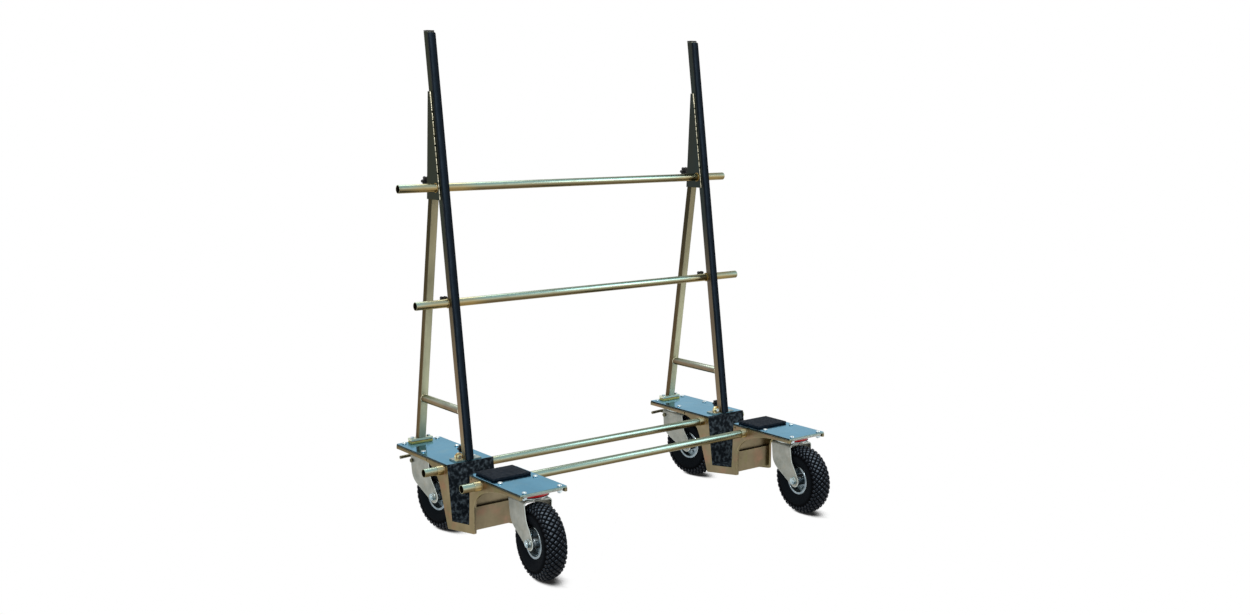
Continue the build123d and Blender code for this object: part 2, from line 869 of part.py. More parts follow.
def fork(unit_x, castor_y, turn, has_pedal):
    """A pressed castor fork with its lower race."""
    side, front = castor_planes(unit_x, castor_y, turn)
    tip = (castor_trail, tyre_radius)
    lower_angle = radians(270 - fork_lower_slope)
    upper_angle = radians(90 - fork_upper_slope)
    end_angle = radians(360 - (fork_lower_slope + fork_upper_slope) / 2)
    lower_tangent = (
        tip[0] + fork_end_radius * cos(lower_angle),
        tip[1] + fork_end_radius * sin(lower_angle),
    )
    upper_tangent = (
        tip[0] + fork_end_radius * cos(upper_angle),
        tip[1] + fork_end_radius * sin(upper_angle),
    )
    end_point = (
        tip[0] + fork_end_radius * cos(end_angle),
        tip[1] + fork_end_radius * sin(end_angle),
    )
    lead_rise = (lower_tangent[0] + fork_lead) * tan(radians(fork_lower_slope))
    lead_corner = (-fork_lead, lower_tangent[1] + lead_rise)
    trail_run = tan(radians(fork_trail_slope))
    upper_run = tan(radians(90 - fork_upper_slope))
    upper_start = upper_tangent[0] + upper_run * upper_tangent[1]
    trail_start = fork_trail_top + trail_run * crown_top
    trail_height = (upper_start - trail_start) / (upper_run - trail_run)
    trail_corner = (fork_trail_top + trail_run * (crown_top - trail_height), trail_height)
    bend_start = front.offset(-2 * fork_lead)
    with BuildPart() as legs:
        with BuildSketch(bend_start) as bend:
            with BuildLine():
                Polyline(*fork_section(fork_half_width, crown_half_width, crown_top), close=True)
            make_face()
            fillet(bend.vertices().group_by(Axis.Y)[-1], crown_corner_radius)
        extrude(amount=4 * fork_lead)
        with BuildSketch(bend_start) as inside:
            with BuildLine():
                Polyline(*fork_section(leg_gap / 2, crown_gap / 2, crown_underside), close=True)
            make_face()
            fillet(inside.vertices().group_by(Axis.Y)[-1], crown_inner_radius)
        extrude(amount=4 * fork_lead, mode=Mode.SUBTRACT)
        with BuildSketch(side) as outline:
            with BuildLine():
                Polyline((-fork_lead, crown_top), lead_corner, lower_tangent)
                ThreePointArc(lower_tangent, end_point, upper_tangent)
                Polyline(upper_tangent, trail_corner, (fork_trail_top, crown_top), (-fork_lead, crown_top))
            make_face()
            fillet(outline.vertices().sort_by_distance(lead_corner)[0], fork_lead_fillet)
            fillet(outline.vertices().sort_by_distance(trail_corner)[0], fork_trail_fillet)
        extrude(amount=2 * crown_half_width, both=True, mode=Mode.INTERSECT)
        with BuildSketch(Plane.XY.offset(crown_top)):
            with Locations((unit_x, rest_y + castor_y)):
                Circle(lower_race_radius)
        extrude(amount=lower_race_top - crown_top)
        with BuildSketch(Plane.XY.offset(crown_underside)):
            with Locations((unit_x, rest_y + castor_y)):
                Circle(kingpin_radius + running_gap)
        extrude(amount=lower_race_top - crown_underside, mode=Mode.SUBTRACT)
        with BuildSketch(side):
            with Locations(tip):
                Circle(axle_radius + running_gap)
            if has_pedal:
                with Locations((-pedal_pivot_lead, pedal_pivot_height)):
                    Circle(pedal_pin_radius + running_gap)
        extrude(amount=2 * crown_half_width, both=True, mode=Mode.SUBTRACT)
    return legs.part


def axle(unit_x, castor_y, turn):
    """A wheel's axle, with its spacers, washers, head and nut."""
    side = castor_planes(unit_x, castor_y, turn)[0]
    hub_face = hub_length / 2 + free_gap
    washer_face = fork_half_width + axle_washer
    nut_face = washer_face + axle_nut_height
    axle_face = nut_face + axle_end
    with BuildPart() as shaft:
        with BuildSketch(side.offset(-nut_face)):
            with Locations((castor_trail, tyre_radius)):
                Circle(axle_radius)
        extrude(amount=nut_face + axle_face)
        with BuildSketch(side.offset(-leg_gap / 2), side.offset(hub_face)):
            with Locations((castor_trail, tyre_radius)):
                Circle(spacer_radius)
        extrude(amount=leg_gap / 2 - hub_face)
        with BuildSketch(side.offset(-washer_face), side.offset(fork_half_width)):
            with Locations((castor_trail, tyre_radius)):
                Circle(axle_washer_radius)
        extrude(amount=axle_washer)
        with BuildSketch(side.offset(-nut_face), side.offset(washer_face)):
            with Locations((castor_trail, tyre_radius)):
                RegularPolygon(axle_nut_flats / 2, 6, major_radius=False)
        extrude(amount=axle_nut_height)
    return shaft.part


def wheel_plane(unit_x, castor_y, turn):
    """Plane at a wheel's middle, with X along the axle and Y up."""
    angle = radians(turn)
    middle = (
        unit_x + castor_trail * sin(angle),
        rest_y + castor_y - castor_trail * cos(angle),
        tyre_radius,
    )
    return Plane(origin=middle, x_dir=(cos(angle), sin(angle), 0), z_dir=(sin(angle), -cos(angle), 0))


def rim(unit_x, castor_y, turn):
    """A pressed steel rim with its hub and disc bolts."""
    plane = wheel_plane(unit_x, castor_y, turn)
    rim_width = rim_inner_width + 2 * rim_sheet
    flange_middle = (rim_inner_width + rim_sheet) / 2
    bed_inner = rim_bed_radius - rim_sheet
    bore = axle_radius + running_gap
    bolt_plane = Plane(origin=plane.origin, x_dir=(0, 0, 1), z_dir=plane.x_dir)
    bolt_reach = rim_disc / 2 + rim_bolt_height
    with BuildPart() as wheel:
        with BuildSketch(plane):
            with Locations((0, bed_inner)):
                Rectangle(rim_width, rim_sheet, align=(Align.CENTER, Align.MIN))
            with Locations((-flange_middle, bed_inner), (flange_middle, bed_inner)):
                Rectangle(rim_sheet, rim_radius - bed_inner, align=(Align.CENTER, Align.MIN))
            with Locations((0, bore)):
                Rectangle(hub_length, hub_radius - bore, align=(Align.CENTER, Align.MIN))
                Rectangle(rim_disc, bed_inner - bore + rim_sheet / 2, align=(Align.CENTER, Align.MIN))
        revolve(axis=Axis(plane.origin, plane.x_dir))
        with BuildSketch(bolt_plane.offset(-bolt_reach)):
            with PolarLocations(rim_bolt_circle, rim_bolt_count):
                RegularPolygon(rim_bolt_flats / 2, 6, major_radius=False)
        extrude(amount=2 * bolt_reach)
    return wheel.part


def tyre(unit_x, castor_y, turn):
    """A pneumatic tyre."""
    plane = wheel_plane(unit_x, castor_y, turn)
    bead = rim_inner_width / 2
    bulge = tyre_width / 2
    shoulder = tyre_shoulder_width / 2
    bead_inner = bead - tyre_wall
    bulge_inner = bulge - tyre_wall
    shoulder_inner = shoulder - tyre_wall
    crown_inner = tyre_radius - tyre_wall
    shoulder_inner_radius = tyre_shoulder_radius - tyre_wall
    with BuildPart() as rubber:
        with BuildSketch(plane):
            with BuildLine():
                Polyline((bead_inner, rim_bed_radius), (bead, rim_bed_radius), (bead, rim_radius))
                ThreePointArc(
                    (bead, rim_radius), (bulge, tyre_bulge_radius), (shoulder, tyre_shoulder_radius)
                )
                ThreePointArc(
                    (shoulder, tyre_shoulder_radius), (0, tyre_radius), (-shoulder, tyre_shoulder_radius)
                )
                ThreePointArc(
                    (-shoulder, tyre_shoulder_radius), (-bulge, tyre_bulge_radius), (-bead, rim_radius)
                )
                Polyline((-bead, rim_radius), (-bead, rim_bed_radius), (-bead_inner, rim_bed_radius))
                Line((-bead_inner, rim_bed_radius), (-bead_inner, rim_radius))
                ThreePointArc(
                    (-bead_inner, rim_radius),
                    (-bulge_inner, tyre_bulge_radius),
                    (-shoulder_inner, shoulder_inner_radius),
                )
                ThreePointArc(
                    (-shoulder_inner, shoulder_inner_radius),
                    (0, crown_inner),
                    (shoulder_inner, shoulder_inner_radius),
                )
                ThreePointArc(
                    (shoulder_inner, shoulder_inner_radius),
                    (bulge_inner, tyre_bulge_radius),
                    (bead_inner, rim_radius),
                )
                Line((bead_inner, rim_radius), (bead_inner, rim_bed_radius))
            make_face()
        revolve(axis=Axis(plane.origin, plane.x_dir))
    return rubber.part


def brake_shoe_point(pivot):
    """Where the brake shoe's middle hangs below its pivot, just clear of the tyre."""
    shoe_angle = radians(pedal_shoe_angle)
    swing = (cos(shoe_angle), sin(shoe_angle))
    from_axle = (pivot[0] - castor_trail, pivot[1] - tyre_radius)
    clear_radius = tyre_radius + pedal_shoe_gap + pedal_shoe_radius
    towards = from_axle[0] * swing[0] + from_axle[1] * swing[1]
    reach = -towards - sqrt(towards**2 + clear_radius**2 - hypot(*from_axle) ** 2)
    return (pivot[0] + reach * swing[0], pivot[1] + reach * swing[1])


def brake_pedal(unit_x, castor_y, turn):
    """A foot brake: a cross bar on an arm, its pivot barrel, and the shoe over the tyre."""
    side = castor_planes(unit_x, castor_y, turn)[0]
    pivot = (-pedal_pivot_lead, pedal_pivot_height)
    bar = (pivot[0] - pedal_arm_length, pivot[1] - pedal_arm_drop)
    shoe = brake_shoe_point(pivot)
    pin_face = crown_half_width + free_gap
    with BuildPart() as pedal:
        with BuildSketch(side):
            with Locations(pivot):
                Circle(pedal_pin_radius)
        extrude(amount=pin_face, both=True)
        with BuildSketch(side.offset(pin_face), side.offset(-pin_face - pedal_pin_head)):
            with Locations(pivot):
                Circle(pedal_pin_head_radius)
        extrude(amount=pedal_pin_head)
        with BuildSketch(side):
            with Locations(pivot):
                Circle(pedal_barrel_radius)
        extrude(amount=pedal_barrel_length / 2, both=True)
        with BuildSketch(side):
            with BuildLine():
                Line(pivot, bar)
            trace(line_width=pedal_arm_height)
        extrude(amount=pedal_arm_width / 2, both=True)
        with BuildSketch(side):
            with Locations(bar):
                Circle(pedal_bar_radius)
        extrude(amount=pedal_bar_length / 2, both=True)
        with BuildSketch(side):
            with Locations(shoe):
                Circle(pedal_shoe_radius)
            with BuildLine():
                Line(pivot, shoe)
            trace(line_width=2 * pedal_shoe_radius)
        extrude(amount=pedal_shoe_width / 2, both=True)
    return pedal.part


def knob(plane, stud_start, base, radius, lobe, height):
    """A lobed clamp knob on its threaded stud."""
    with BuildPart() as grip:
        with BuildSketch(plane.offset(base)):
            Circle(radius - lobe)
            with PolarLocations(radius - lobe, knob_lobes):
                Circle(lobe)
        extrude(amount=height)
        end_face = grip.faces().sort_by(Axis(plane.origin, plane.z_dir))[-1]
        fillet(end_face.edges(), knob_edge_fillet)
        with BuildSketch(plane.offset(stud_start)):
            Circle(knob_stud_radius)
        extrude(amount=base - stud_start)
    return grip.part


def tube_knob(unit_x, height):
    """The knob that clamps an upper tube in its sleeve."""
    plane = clamp_plane(unit_x, height)
    stud_start = tube_radius + free_gap
    base = knob_base(height)
    return knob(plane, stud_start, base, tube_knob_radius, tube_knob_lobe, tube_knob_height)


def foot_knob(unit_x):
    """The knob that clamps the front leg on its spigot."""
    plane = foot_knob_plane(unit_x)
    stud_start = 2 * free_gap - leg_wall
    return knob(
        plane, stud_start, foot_knob_standoff, foot_knob_radius, foot_knob_lobe, foot_knob_height
    )


unit_pieces = {
    "side_plates": side_plates,
    "rear_deck": rear_deck,
    "front_deck": front_deck,
    "trough": trough,
    "trough_liner": trough_liner,
    "deck_pad": deck_pad,
    "tube_sleeves": tube_sleeves,
    "fasteners": fasteners,
    "castor_plates": castor_plates,
    "swivel_seals": swivel_seals,
    "front_leg": front_leg,
    "rear_leg": rear_leg,
    "mast_braces": mast_braces,
    "leg_facing": leg_facing,
    "mast_feet": mast_feet,
    "leg_cap": leg_cap,
}
lower_rear_point, lower_front_point = lower_tube_points()
tube_axes = {
    "top": (upper_tube_y(top_tube_height), top_tube_height),
    "middle": (upper_tube_y(middle_tube_height), middle_tube_height),
    "lower_rear": lower_rear_point,
    "lower_front": lower_front_point,
}
castor_places = {
    "front": (front_castor_y, front_castor_turn),
    "rear": (rear_castor_y, rear_castor_turn),
}

pieces = {}
for name, (y, height) in tube_axes.items():
    pieces[f"{name}_tube"] = tube(name, y, height)
for unit, unit_x in unit_centres.items():
    for name, make in unit_pieces.items():
        pieces[f"{unit}_{name}"] = make(unit_x)
    for place, (castor_y, turn) in castor_places.items():
        pieces[f"{unit}_{place}_fork"] = fork(unit_x, castor_y, turn, place == "rear")
        pieces[f"{unit}_{place}_axle"] = axle(unit_x, castor_y, turn)
        pieces[f"{unit}_{place}_rim"] = rim(unit_x, castor_y, turn)
        pieces[f"{unit}_{place}_tyre"] = tyre(unit_x, castor_y, turn)
    pieces[f"{unit}_brake_pedal"] = brake_pedal(unit_x, rear_castor_y, rear_castor_turn)
    pieces[f"{unit}_top_knob"] = tube_knob(unit_x, top_tube_height)
    pieces[f"{unit}_middle_knob"] = tube_knob(unit_x, middle_tube_height)
    pieces[f"{unit}_foot_knob"] = foot_knob(unit_x)

for label, piece in pieces.items():
    piece.label = label
    export_step(piece, f"parts/{label}.step")
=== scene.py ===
"""Looks of the glass cart: plating, rubber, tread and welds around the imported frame, in a plain studio."""
import json
import random
from math import ceil, cos, pi, radians, sin, sqrt, tan

import bmesh
import bpy
import numpy as np
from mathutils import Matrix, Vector, noise


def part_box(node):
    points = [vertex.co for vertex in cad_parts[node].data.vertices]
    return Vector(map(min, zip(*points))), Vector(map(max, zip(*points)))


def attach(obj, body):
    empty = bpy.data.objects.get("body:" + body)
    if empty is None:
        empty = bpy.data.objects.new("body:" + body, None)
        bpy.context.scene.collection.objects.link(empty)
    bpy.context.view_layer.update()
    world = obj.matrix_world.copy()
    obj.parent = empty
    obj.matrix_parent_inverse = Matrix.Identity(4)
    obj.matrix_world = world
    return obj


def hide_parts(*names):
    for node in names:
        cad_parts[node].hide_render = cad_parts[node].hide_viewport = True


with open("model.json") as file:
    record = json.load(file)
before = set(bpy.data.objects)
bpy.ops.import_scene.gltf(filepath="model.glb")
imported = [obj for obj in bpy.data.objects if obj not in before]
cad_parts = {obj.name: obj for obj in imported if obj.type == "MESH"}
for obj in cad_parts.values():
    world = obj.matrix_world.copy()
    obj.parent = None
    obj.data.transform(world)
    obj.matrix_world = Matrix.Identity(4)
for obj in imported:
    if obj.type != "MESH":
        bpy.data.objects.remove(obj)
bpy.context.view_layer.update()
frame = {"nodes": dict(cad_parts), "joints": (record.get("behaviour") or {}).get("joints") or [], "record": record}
scene = bpy.context.scene
random.seed(4)

# Camera, fitted to the photograph: metres, degrees and pixels
camera_place = (-2.9419, -3.8683, 1.5419)
camera_yaw = 37.558
camera_pitch = 8.556
focal_pixels = 1321.7
image_width = 1250
sensor_width = 36

# Studio: the floor's shadow lies between two shares of open room, along a leaning direction
floor_half = 60
floor_grey = 0.35
floor_mottle = 0.01
floor_rough = 0.9
shadow_reach = 0.09
shadow_lean = (-0.55, 0.42, 0.72)
shadow_stops = (0.41, 0.59)
shadow_dark = 0.02
lamps = {
    "key": {"place": (-3.2, -3.0, 4.4), "size": 1.4, "power": 110},
    "fill": {"place": (3.6, -2.4, 3.2), "size": 3.0, "power": 55},
    "top": {"place": (0.2, 1.6, 4.8), "size": 3.4, "power": 85},
}
lamp_target = (0, 0, 0.6)
dome_stops = ((0.0, 1.0), (0.2, 1.0), (0.5, 0.62), (1.0, 0.8))

# The mast and the trough, in metres and degrees
lean = radians(8)
rear_lean = radians(8.55)
leg_width = 0.030
leg_depth = 0.025
leg_front = 0.004
leg_rear = leg_front + leg_depth
rear_leg_inset = 0.003
deck_thickness = 0.006
trough_depth = 0.200
trough_width = 0.118
foot_plate = 0.005
block_groove_foot = 0.004
block_groove_head = 0.0065
gusset = 0.005
gusset_lap = 0.015
gusset_bottom = 1.222
gusset_top = 1.603
rung_radius = 0.015
rung_height = 0.475
sleeve_radius = 0.0169
tube_bore = 0.013
tubes = ("top", "middle", "lower_rear", "lower_front")

# Cut edges of the CAD nodes, by how a node's name ends
edge_widths = {
    "side_plates": 0.0009,
    "deck": 0.0008,
    "fork": 0.0016,
    "leg": 0.0016,
    "leg_cap": 0.0012,
}
plain_edge = 0.0005
edge_segments = 2
edge_angle = radians(38)
merge_distance = 0.00001

# Rubber: sags, ripples and grains are counts a metre
liner = 0.006
liner_end_gap = 0.003
liner_bend = 0.010
liner_corner = 0.001
liner_sag = 0.0007
liner_sags = 22
facing = 0.010
facing_foot = 0.002
facing_round = 0.002
facing_end_round = 0.006
facing_end_inset = 0.003
facing_end_gap = 0.015
facing_crown = 0.0012
facing_ripple = 0.0003
facing_ripples_across = 60
facing_ripples_along = 9
groove_half = 0.0032
groove_depth = 0.0015
groove_centres = (-0.008, 0, 0.008)
pad_round = 0.0025
pad_crown = 0.0006
pad_grain = 0.0003
pad_grains = 260

# Tyres
tyre_bulge_drop = 0.040
tyre_half_width = 0.040
shoulder_half_width = 0.0315
shoulder_drop = 0.009
bead_half_width = 0.027
rim_bed_radius = 0.050
rim_half_width = 0.030
blocks_around = 38
row_pitch = 0.0118
tread_reach = 0.048
tread_fade = 0.014
tread_depth = 0.0042
tread_groove_share = 0.06
tread_wall_share = 0.16
wall_wear = 0.7
# The way that the tread blocks with a painted highlight face
highlight_side = (-0.5, -0.55, 0.67)
sidewall_rib = 0.0009
sidewall_rib_width = 0.0012
sidewall_ribs = (0.067, 0.0715, 0.104)
lip_radius = 0.0018

# Tyre valves: the base, neck and tip are shares of the radius
valve_radius = 0.0038
valve_across = 0.015
valve_inner = 0.027
valve_sink = 0.003
valve_base = 1.5
valve_neck = 0.9
valve_tip = 0.6

# Castor seals
seal_radius = 0.0635
seal_bore = 0.047
seal_foot = 0.2772
seal_top = 0.2905
seal_lip = 0.0012
race_radius = 0.058
race_flare = 0.007
race_top = 0.2755
race_drop = 0.0042

# Welds: a bead's scallop, lump and end are shares of its radius, and lumps a count a metre
bead_radius = 0.0017
bead_step = 0.0008
bead_least_steps = 3
bead_ripple = 0.0024
bead_scallop = 0.18
bead_lump = 0.12
bead_lumps = 180
bead_end = 0.4
ring_bead = 0.0011
stitch_length = 0.024
stitch_length_shares = (0.6, 1.3)
stitch_gap = 0.004
stitch_gap_shares = (0.4, 1.4)
stitch_radius = 0.0022
tip_bead = 0.042
tip_radius = 0.0032

# Steps of the meshes
arc_steps = 90
profile_steps = 104
rings_per_block = 11
ring_steps = 96
lip_sides = 10
valve_sides = 12
valve_steps = 12
valve_base_steps = 4
liner_end_steps = 3
liner_floor_steps = 26
liner_bend_steps = 8
liner_wall_steps = 46
liner_width_steps = 44
facing_corner_steps = 6
facing_width_steps = 49
facing_end_steps = 7
facing_length_steps = 130
pad_round_steps = 4
pad_cuts = 40
bead_sides = 8

# Finishes: where one runs into the next, in metres
deck_shade = (0.005, 0.0005)
mast_darkens = (0.45, 1.1)
gold_reach = (0.08, 0.15)
# Where the painted shade inside the tubes' bores fades out, beyond their radius
bore_shade_edge = (0.0002, 0.0007)
feet_split = (0.12, 0.2)
flange_edge = 0.002
block_groove_edge = 0.0005

# Textures: the middle of a speck, the shares of facing sideways and the finer scale of a tint
speck_core = 0.02
side_start = 0.5
side_end = 0.8
tint_scale = 2.3


# Places on the units

up = Vector((0, 0, 1))
rest_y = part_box("left_trough_liner")[1].y
deck_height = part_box("left_rear_deck")[1].z
rear_face_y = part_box("left_rear_deck")[1].y - rear_leg_inset
unit_x = {}
for unit in ("left", "right"):
    deck_low, deck_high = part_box(f"{unit}_rear_deck")
    unit_x[unit] = (deck_low.x + deck_high.x) / 2


def lean_y(behind, height):
    """Y at a height, on the leaning line this far behind the glass rest line."""
    return rest_y + behind / cos(lean) + (height - deck_height) * tan(lean)


def lean_point(x, behind, along):
    """Point this far behind the glass rest line and this far up along it."""
    y = rest_y + behind * cos(lean) + along * sin(lean)
    return Vector((x, y, deck_height - behind * sin(lean) + along * cos(lean)))


def rear_leg_y(ahead, height):
    """Y at a height, on the line this far ahead of the rear leg's rear face."""
    return rear_face_y - ahead / cos(rear_lean) - (height - deck_height) * tan(rear_lean)


def tube_axis(tube):
    """The (y, z) place of a tube's axis."""
    low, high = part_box(f"{tube}_tube")
    return (low.y + high.y) / 2, (low.z + high.z) / 2


def round_size(node):
    """The radius of a wheel's piece, from its height."""
    low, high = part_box(node)
    return (high.z - low.z) / 2


tyre_radius = round_size("left_front_tyre")
rim_radius = round_size("left_front_rim")


# Materials

def srgb(red, green, blue):
    """A colour as it is seen, 0 to 255, as Blender's linear values."""
    linear = []
    for value in (red, green, blue):
        share = value / 255
        linear.append(share / 12.92 if share <= 0.04045 else ((share + 0.055) / 1.055) ** 2.4)
    return (*linear, 1)


white = srgb(255, 255, 255)
mast_stain = srgb(162, 158, 120)
special_sockets = {"specular_level": "Specular IOR Level"}

# The Mix node's colour sockets share their names with others, so they go by number
mix_first = 6
mix_second = 7
mix_result = 2


def socket_name(word):
    """A shader socket's own name for a plain word."""
    return special_sockets.get(word, word.replace("_", " ").title())


def fill_ramp(ramp, stops):
    """Gives a colour ramp its stops."""
    elements = ramp.color_ramp.elements
    while len(elements) < len(stops):
        elements.new(0.5)
    for element, (place, colour) in zip(elements, stops):
        element.position = place
        element.color = colour


class Finish:
    """A procedural material: a Principled shader and the textures that feed it."""

    def __init__(self, name, **values):
        self.material = bpy.data.materials.new(name)
        self.material.use_nodes = True
        self.tree = self.material.node_tree
        self.shader = self.tree.nodes["Principled BSDF"]
        self.place = self.node("ShaderNodeTexCoord").outputs["Object"]
        self.set(**values)

    def set(self, **values):
        """Feeds the shader's own sockets."""
        for word, value in values.items():
            self.feed(self.shader.inputs[socket_name(word)], value)
        return self.material

    def node(self, kind, **inputs):
        """A node with its inputs set or linked."""
        made = self.tree.nodes.new(kind)
        for word, value in inputs.items():
            self.feed(made.inputs[socket_name(word)], value)
        return made

    def feed(self, socket, value):
        """Links an output to a socket, or sets the socket's own value."""
        if isinstance(value, bpy.types.NodeSocket):
            self.tree.links.new(value, socket)
        else:
            socket.default_value = value

    def math(self, operation, *values, kind="ShaderNodeMath"):
        """One number from several values, by an arithmetic operation."""
        made = self.tree.nodes.new(kind)
        made.operation = operation
        for socket, value in zip(made.inputs, values):
            self.feed(socket, value)
        return made.outputs["Value"]

    def vector_math(self, operation, *values):
        """One number from two vectors."""
        return self.math(operation, *values, kind="ShaderNodeVectorMath")

    def smallest(self, values):
        """The smallest of several values."""
        least = values[0]
        for value in values[1:]:
            least = self.math("MINIMUM", least, value)
        return least

    def scaled(self, scale):
        """The surface's place, scaled along the axes."""
        return self.node("ShaderNodeMapping", vector=self.place, scale=scale).outputs["Vector"]

    def axis(self, source, name):
        """One axis of a vector output."""
        return self.node("ShaderNodeSeparateXYZ", vector=source).outputs[name]

    def normal(self):
        """The way the surface faces."""
        return self.node("ShaderNodeNewGeometry").outputs["Normal"]

    def facing(self, name):
        """How far the surface faces along one axis, -1 to 1."""
        return self.axis(self.normal(), name)

    def sideways(self, name):
        """1 on surfaces that face either way along one axis, 0 on the others."""
        return self.spread(self.math("ABSOLUTE", self.facing(name)), 0, 1, side_start, side_end)

    def upward(self, wander):
        """How far the surface faces up, 0 to 1, with a wander added."""
        return self.math("ADD", self.spread(self.facing("Z"), 0, 1, -1, 1), wander)

    def noise(self, scale, detail=3, stretch=(1, 1, 1)):
        """Cloudy noise with this many features a metre, times the stretch along each axis."""
        place = self.scaled(stretch)
        return self.node("ShaderNodeTexNoise", vector=place, scale=scale, detail=detail).outputs["Fac"]

    def specks(self, scale):
        """Distance to scattered points, this many a metre."""
        return self.node("ShaderNodeTexVoronoi", vector=self.place, scale=scale).outputs["Distance"]

    def spread(self, factor, low, high, start, end):
        """Maps a value's stretch from start to end onto a pair of values."""
        limits = {"from_min": start, "from_max": end, "to_min": low, "to_max": high}
        return self.node("ShaderNodeMapRange", value=factor, **limits).outputs["Result"]

    def clouds(self, scale, low, high, detail=4, start=0.3, end=0.7, stretch=(1, 1, 1)):
        """Cloudy noise between two values."""
        return self.spread(self.noise(scale, detail, stretch), low, high, start, end)

    def blend(self, factor, first, second):
        """A colour between two colours."""
        made = self.tree.nodes.new("ShaderNodeMix")
        made.data_type = "RGBA"
        self.feed(made.inputs["Factor"], factor)
        self.feed(made.inputs[mix_first], first)
        self.feed(made.inputs[mix_second], second)
        return made.outputs[mix_result]

    def stained(self, colour, stain, scale, most=1, **texture):
        """A colour with clouds of another colour in it."""
        return self.blend(self.clouds(scale, 0, most, **texture), colour, stain)

    def marked(self, colour, mark, scale, most, reach):
        """A colour with small scattered marks of another colour."""
        return self.blend(self.spread(self.specks(scale), most, 0, speck_core, reach), colour, mark)

    def bands(self, factor, *stops):
        """A colour that runs through (place, colour) stops."""
        made = self.node("ShaderNodeValToRGB", fac=factor)
        fill_ramp(made, stops)
        return made.outputs["Color"]

    def bump(self, height, distance, under=None):
        """A surface normal from a height texture, this deep in metres."""
        made = self.node("ShaderNodeBump", height=height, distance=distance, strength=1.0)
        if under is not None:
            self.feed(made.inputs["Normal"], under)
        return made.outputs["Normal"]

    def rolled(self, waves, wave_depth, grains, grain_depth, stretch=(1, 1, 1)):
        """A surface normal with a fine grain over broad waves."""
        ripple = self.bump(self.noise(waves, 2), wave_depth)
        return self.bump(self.noise(grains, 3, stretch), grain_depth, under=ripple)


def plated(name, dark, light, tint, rough, patch):
    """Zinc plated steel: cloudy passivation, rolled grain, fine handling marks."""
    made = Finish(name, metallic=1.0)
    colour = made.stained(dark, light, patch, detail=5)
    colour = made.stained(colour, tint, patch * tint_scale, most=0.6, start=0.5, end=0.72)
    return made.set(
        base_color=made.marked(colour, dark, 170, most=0.35, reach=0.12),
        roughness=made.clouds(110, *rough),
        normal=made.rolled(waves=14, wave_depth=0.0004, grains=420, grain_depth=0.00006),
    )


def deck_plated(name):
    """Blue bright zinc: a mirror-like top with faint clouds, and sawn sides painted as light and shade: dark where
    they face sideways along X, pale where they face front or back.
    """
    made = Finish(name, metallic=1.0, specular_tint=srgb(214, 230, 236))
    top = made.stained(srgb(82, 142, 172), srgb(104, 166, 196), 6, detail=5)
    top = made.stained(top, srgb(126, 164, 176), 17, most=0.5, start=0.52, end=0.75)
    top = made.marked(top, srgb(74, 118, 144), 120, most=0.3, reach=0.1)
    # Painted shade on the sides that face along X, painted light on the sides that face front or back
    side = made.blend(made.sideways("X"), srgb(146, 172, 164), srgb(18, 21, 22))
    side = made.stained(side, srgb(70, 78, 76), 60, most=0.4)
    return made.set(
        base_color=made.blend(made.sideways("Z"), side, top),
        roughness=made.clouds(120, 0.09, 0.19),
        normal=made.rolled(waves=9, wave_depth=0.0005, grains=420, grain_depth=0.00004),
    )


def sheet_plated(name):
    """Yellow passivated sheet: tan clouds with pink and olive stains, shaded close under the decks."""
    made = Finish(name, metallic=1.0, specular_tint=srgb(206, 196, 170))
    colour = made.stained(srgb(114, 104, 82), srgb(146, 134, 108), 8, detail=5)
    colour = made.stained(colour, srgb(150, 116, 96), 13, most=0.75, start=0.52, end=0.7)
    tall = (1, 1, 0.6)
    colour = made.stained(colour, srgb(122, 120, 84), 19, most=0.6, start=0.55, end=0.72, stretch=tall)
    colour = made.marked(colour, srgb(84, 72, 50), 170, most=0.35, reach=0.12)
    under_deck = deck_height - deck_thickness
    shade_ends = [under_deck - below for below in deck_shade]
    shade = made.spread(made.axis(made.place, "Z"), 0, 0.8, *shade_ends)
    return made.set(
        base_color=made.blend(shade, colour, srgb(34, 29, 22)),
        roughness=made.clouds(90, 0.30, 0.46),
        normal=made.rolled(waves=12, wave_depth=0.0005, grains=380, grain_depth=0.00006),
    )


def mast_plated(name, low_side, high_side, low_front, high_front, rough=(0.26, 0.42)):
    """Passivated mast steel, darker towards the head, with painted light and shade by facing: pale where it faces
    forward, browner sides, pale where it looks up and brown where it looks down.
    """
    made = Finish(name, metallic=1.0, specular_tint=srgb(210, 206, 186))
    climb = made.spread(made.axis(made.place, "Z"), 0, 1, *mast_darkens)
    stain = made.clouds(24, 0, 0.35, start=0.5, end=0.72, stretch=(1, 1, 0.4))
    side = made.blend(climb, made.blend(stain, low_side, mast_stain), high_side)
    front = made.blend(climb, made.blend(stain, low_front, mast_stain), high_front)
    # Painted light on the faces that look forward, painted shade on the sides
    colour = made.blend(made.sideways("X"), front, side)
    # Painted highlight on the faces that look up, painted shade on the faces that look down
    above = made.spread(made.facing("Z"), 0, 1, 0.2, 0.75)
    colour = made.blend(above, colour, srgb(186, 196, 182))
    below = made.spread(made.facing("Z"), 1, 0, -0.75, -0.2)
    colour = made.blend(below, colour, srgb(96, 82, 56))
    colour = made.stained(colour, srgb(56, 54, 46), 11, most=0.42, detail=5, stretch=(1, 1, 0.35))
    return made.set(
        base_color=colour,
        roughness=made.clouds(90, *rough, stretch=(6, 6, 1)),
        normal=made.rolled(
            waves=16, wave_depth=0.0003, grains=300, grain_depth=0.00005, stretch=(4, 4, 1)
        ),
    )


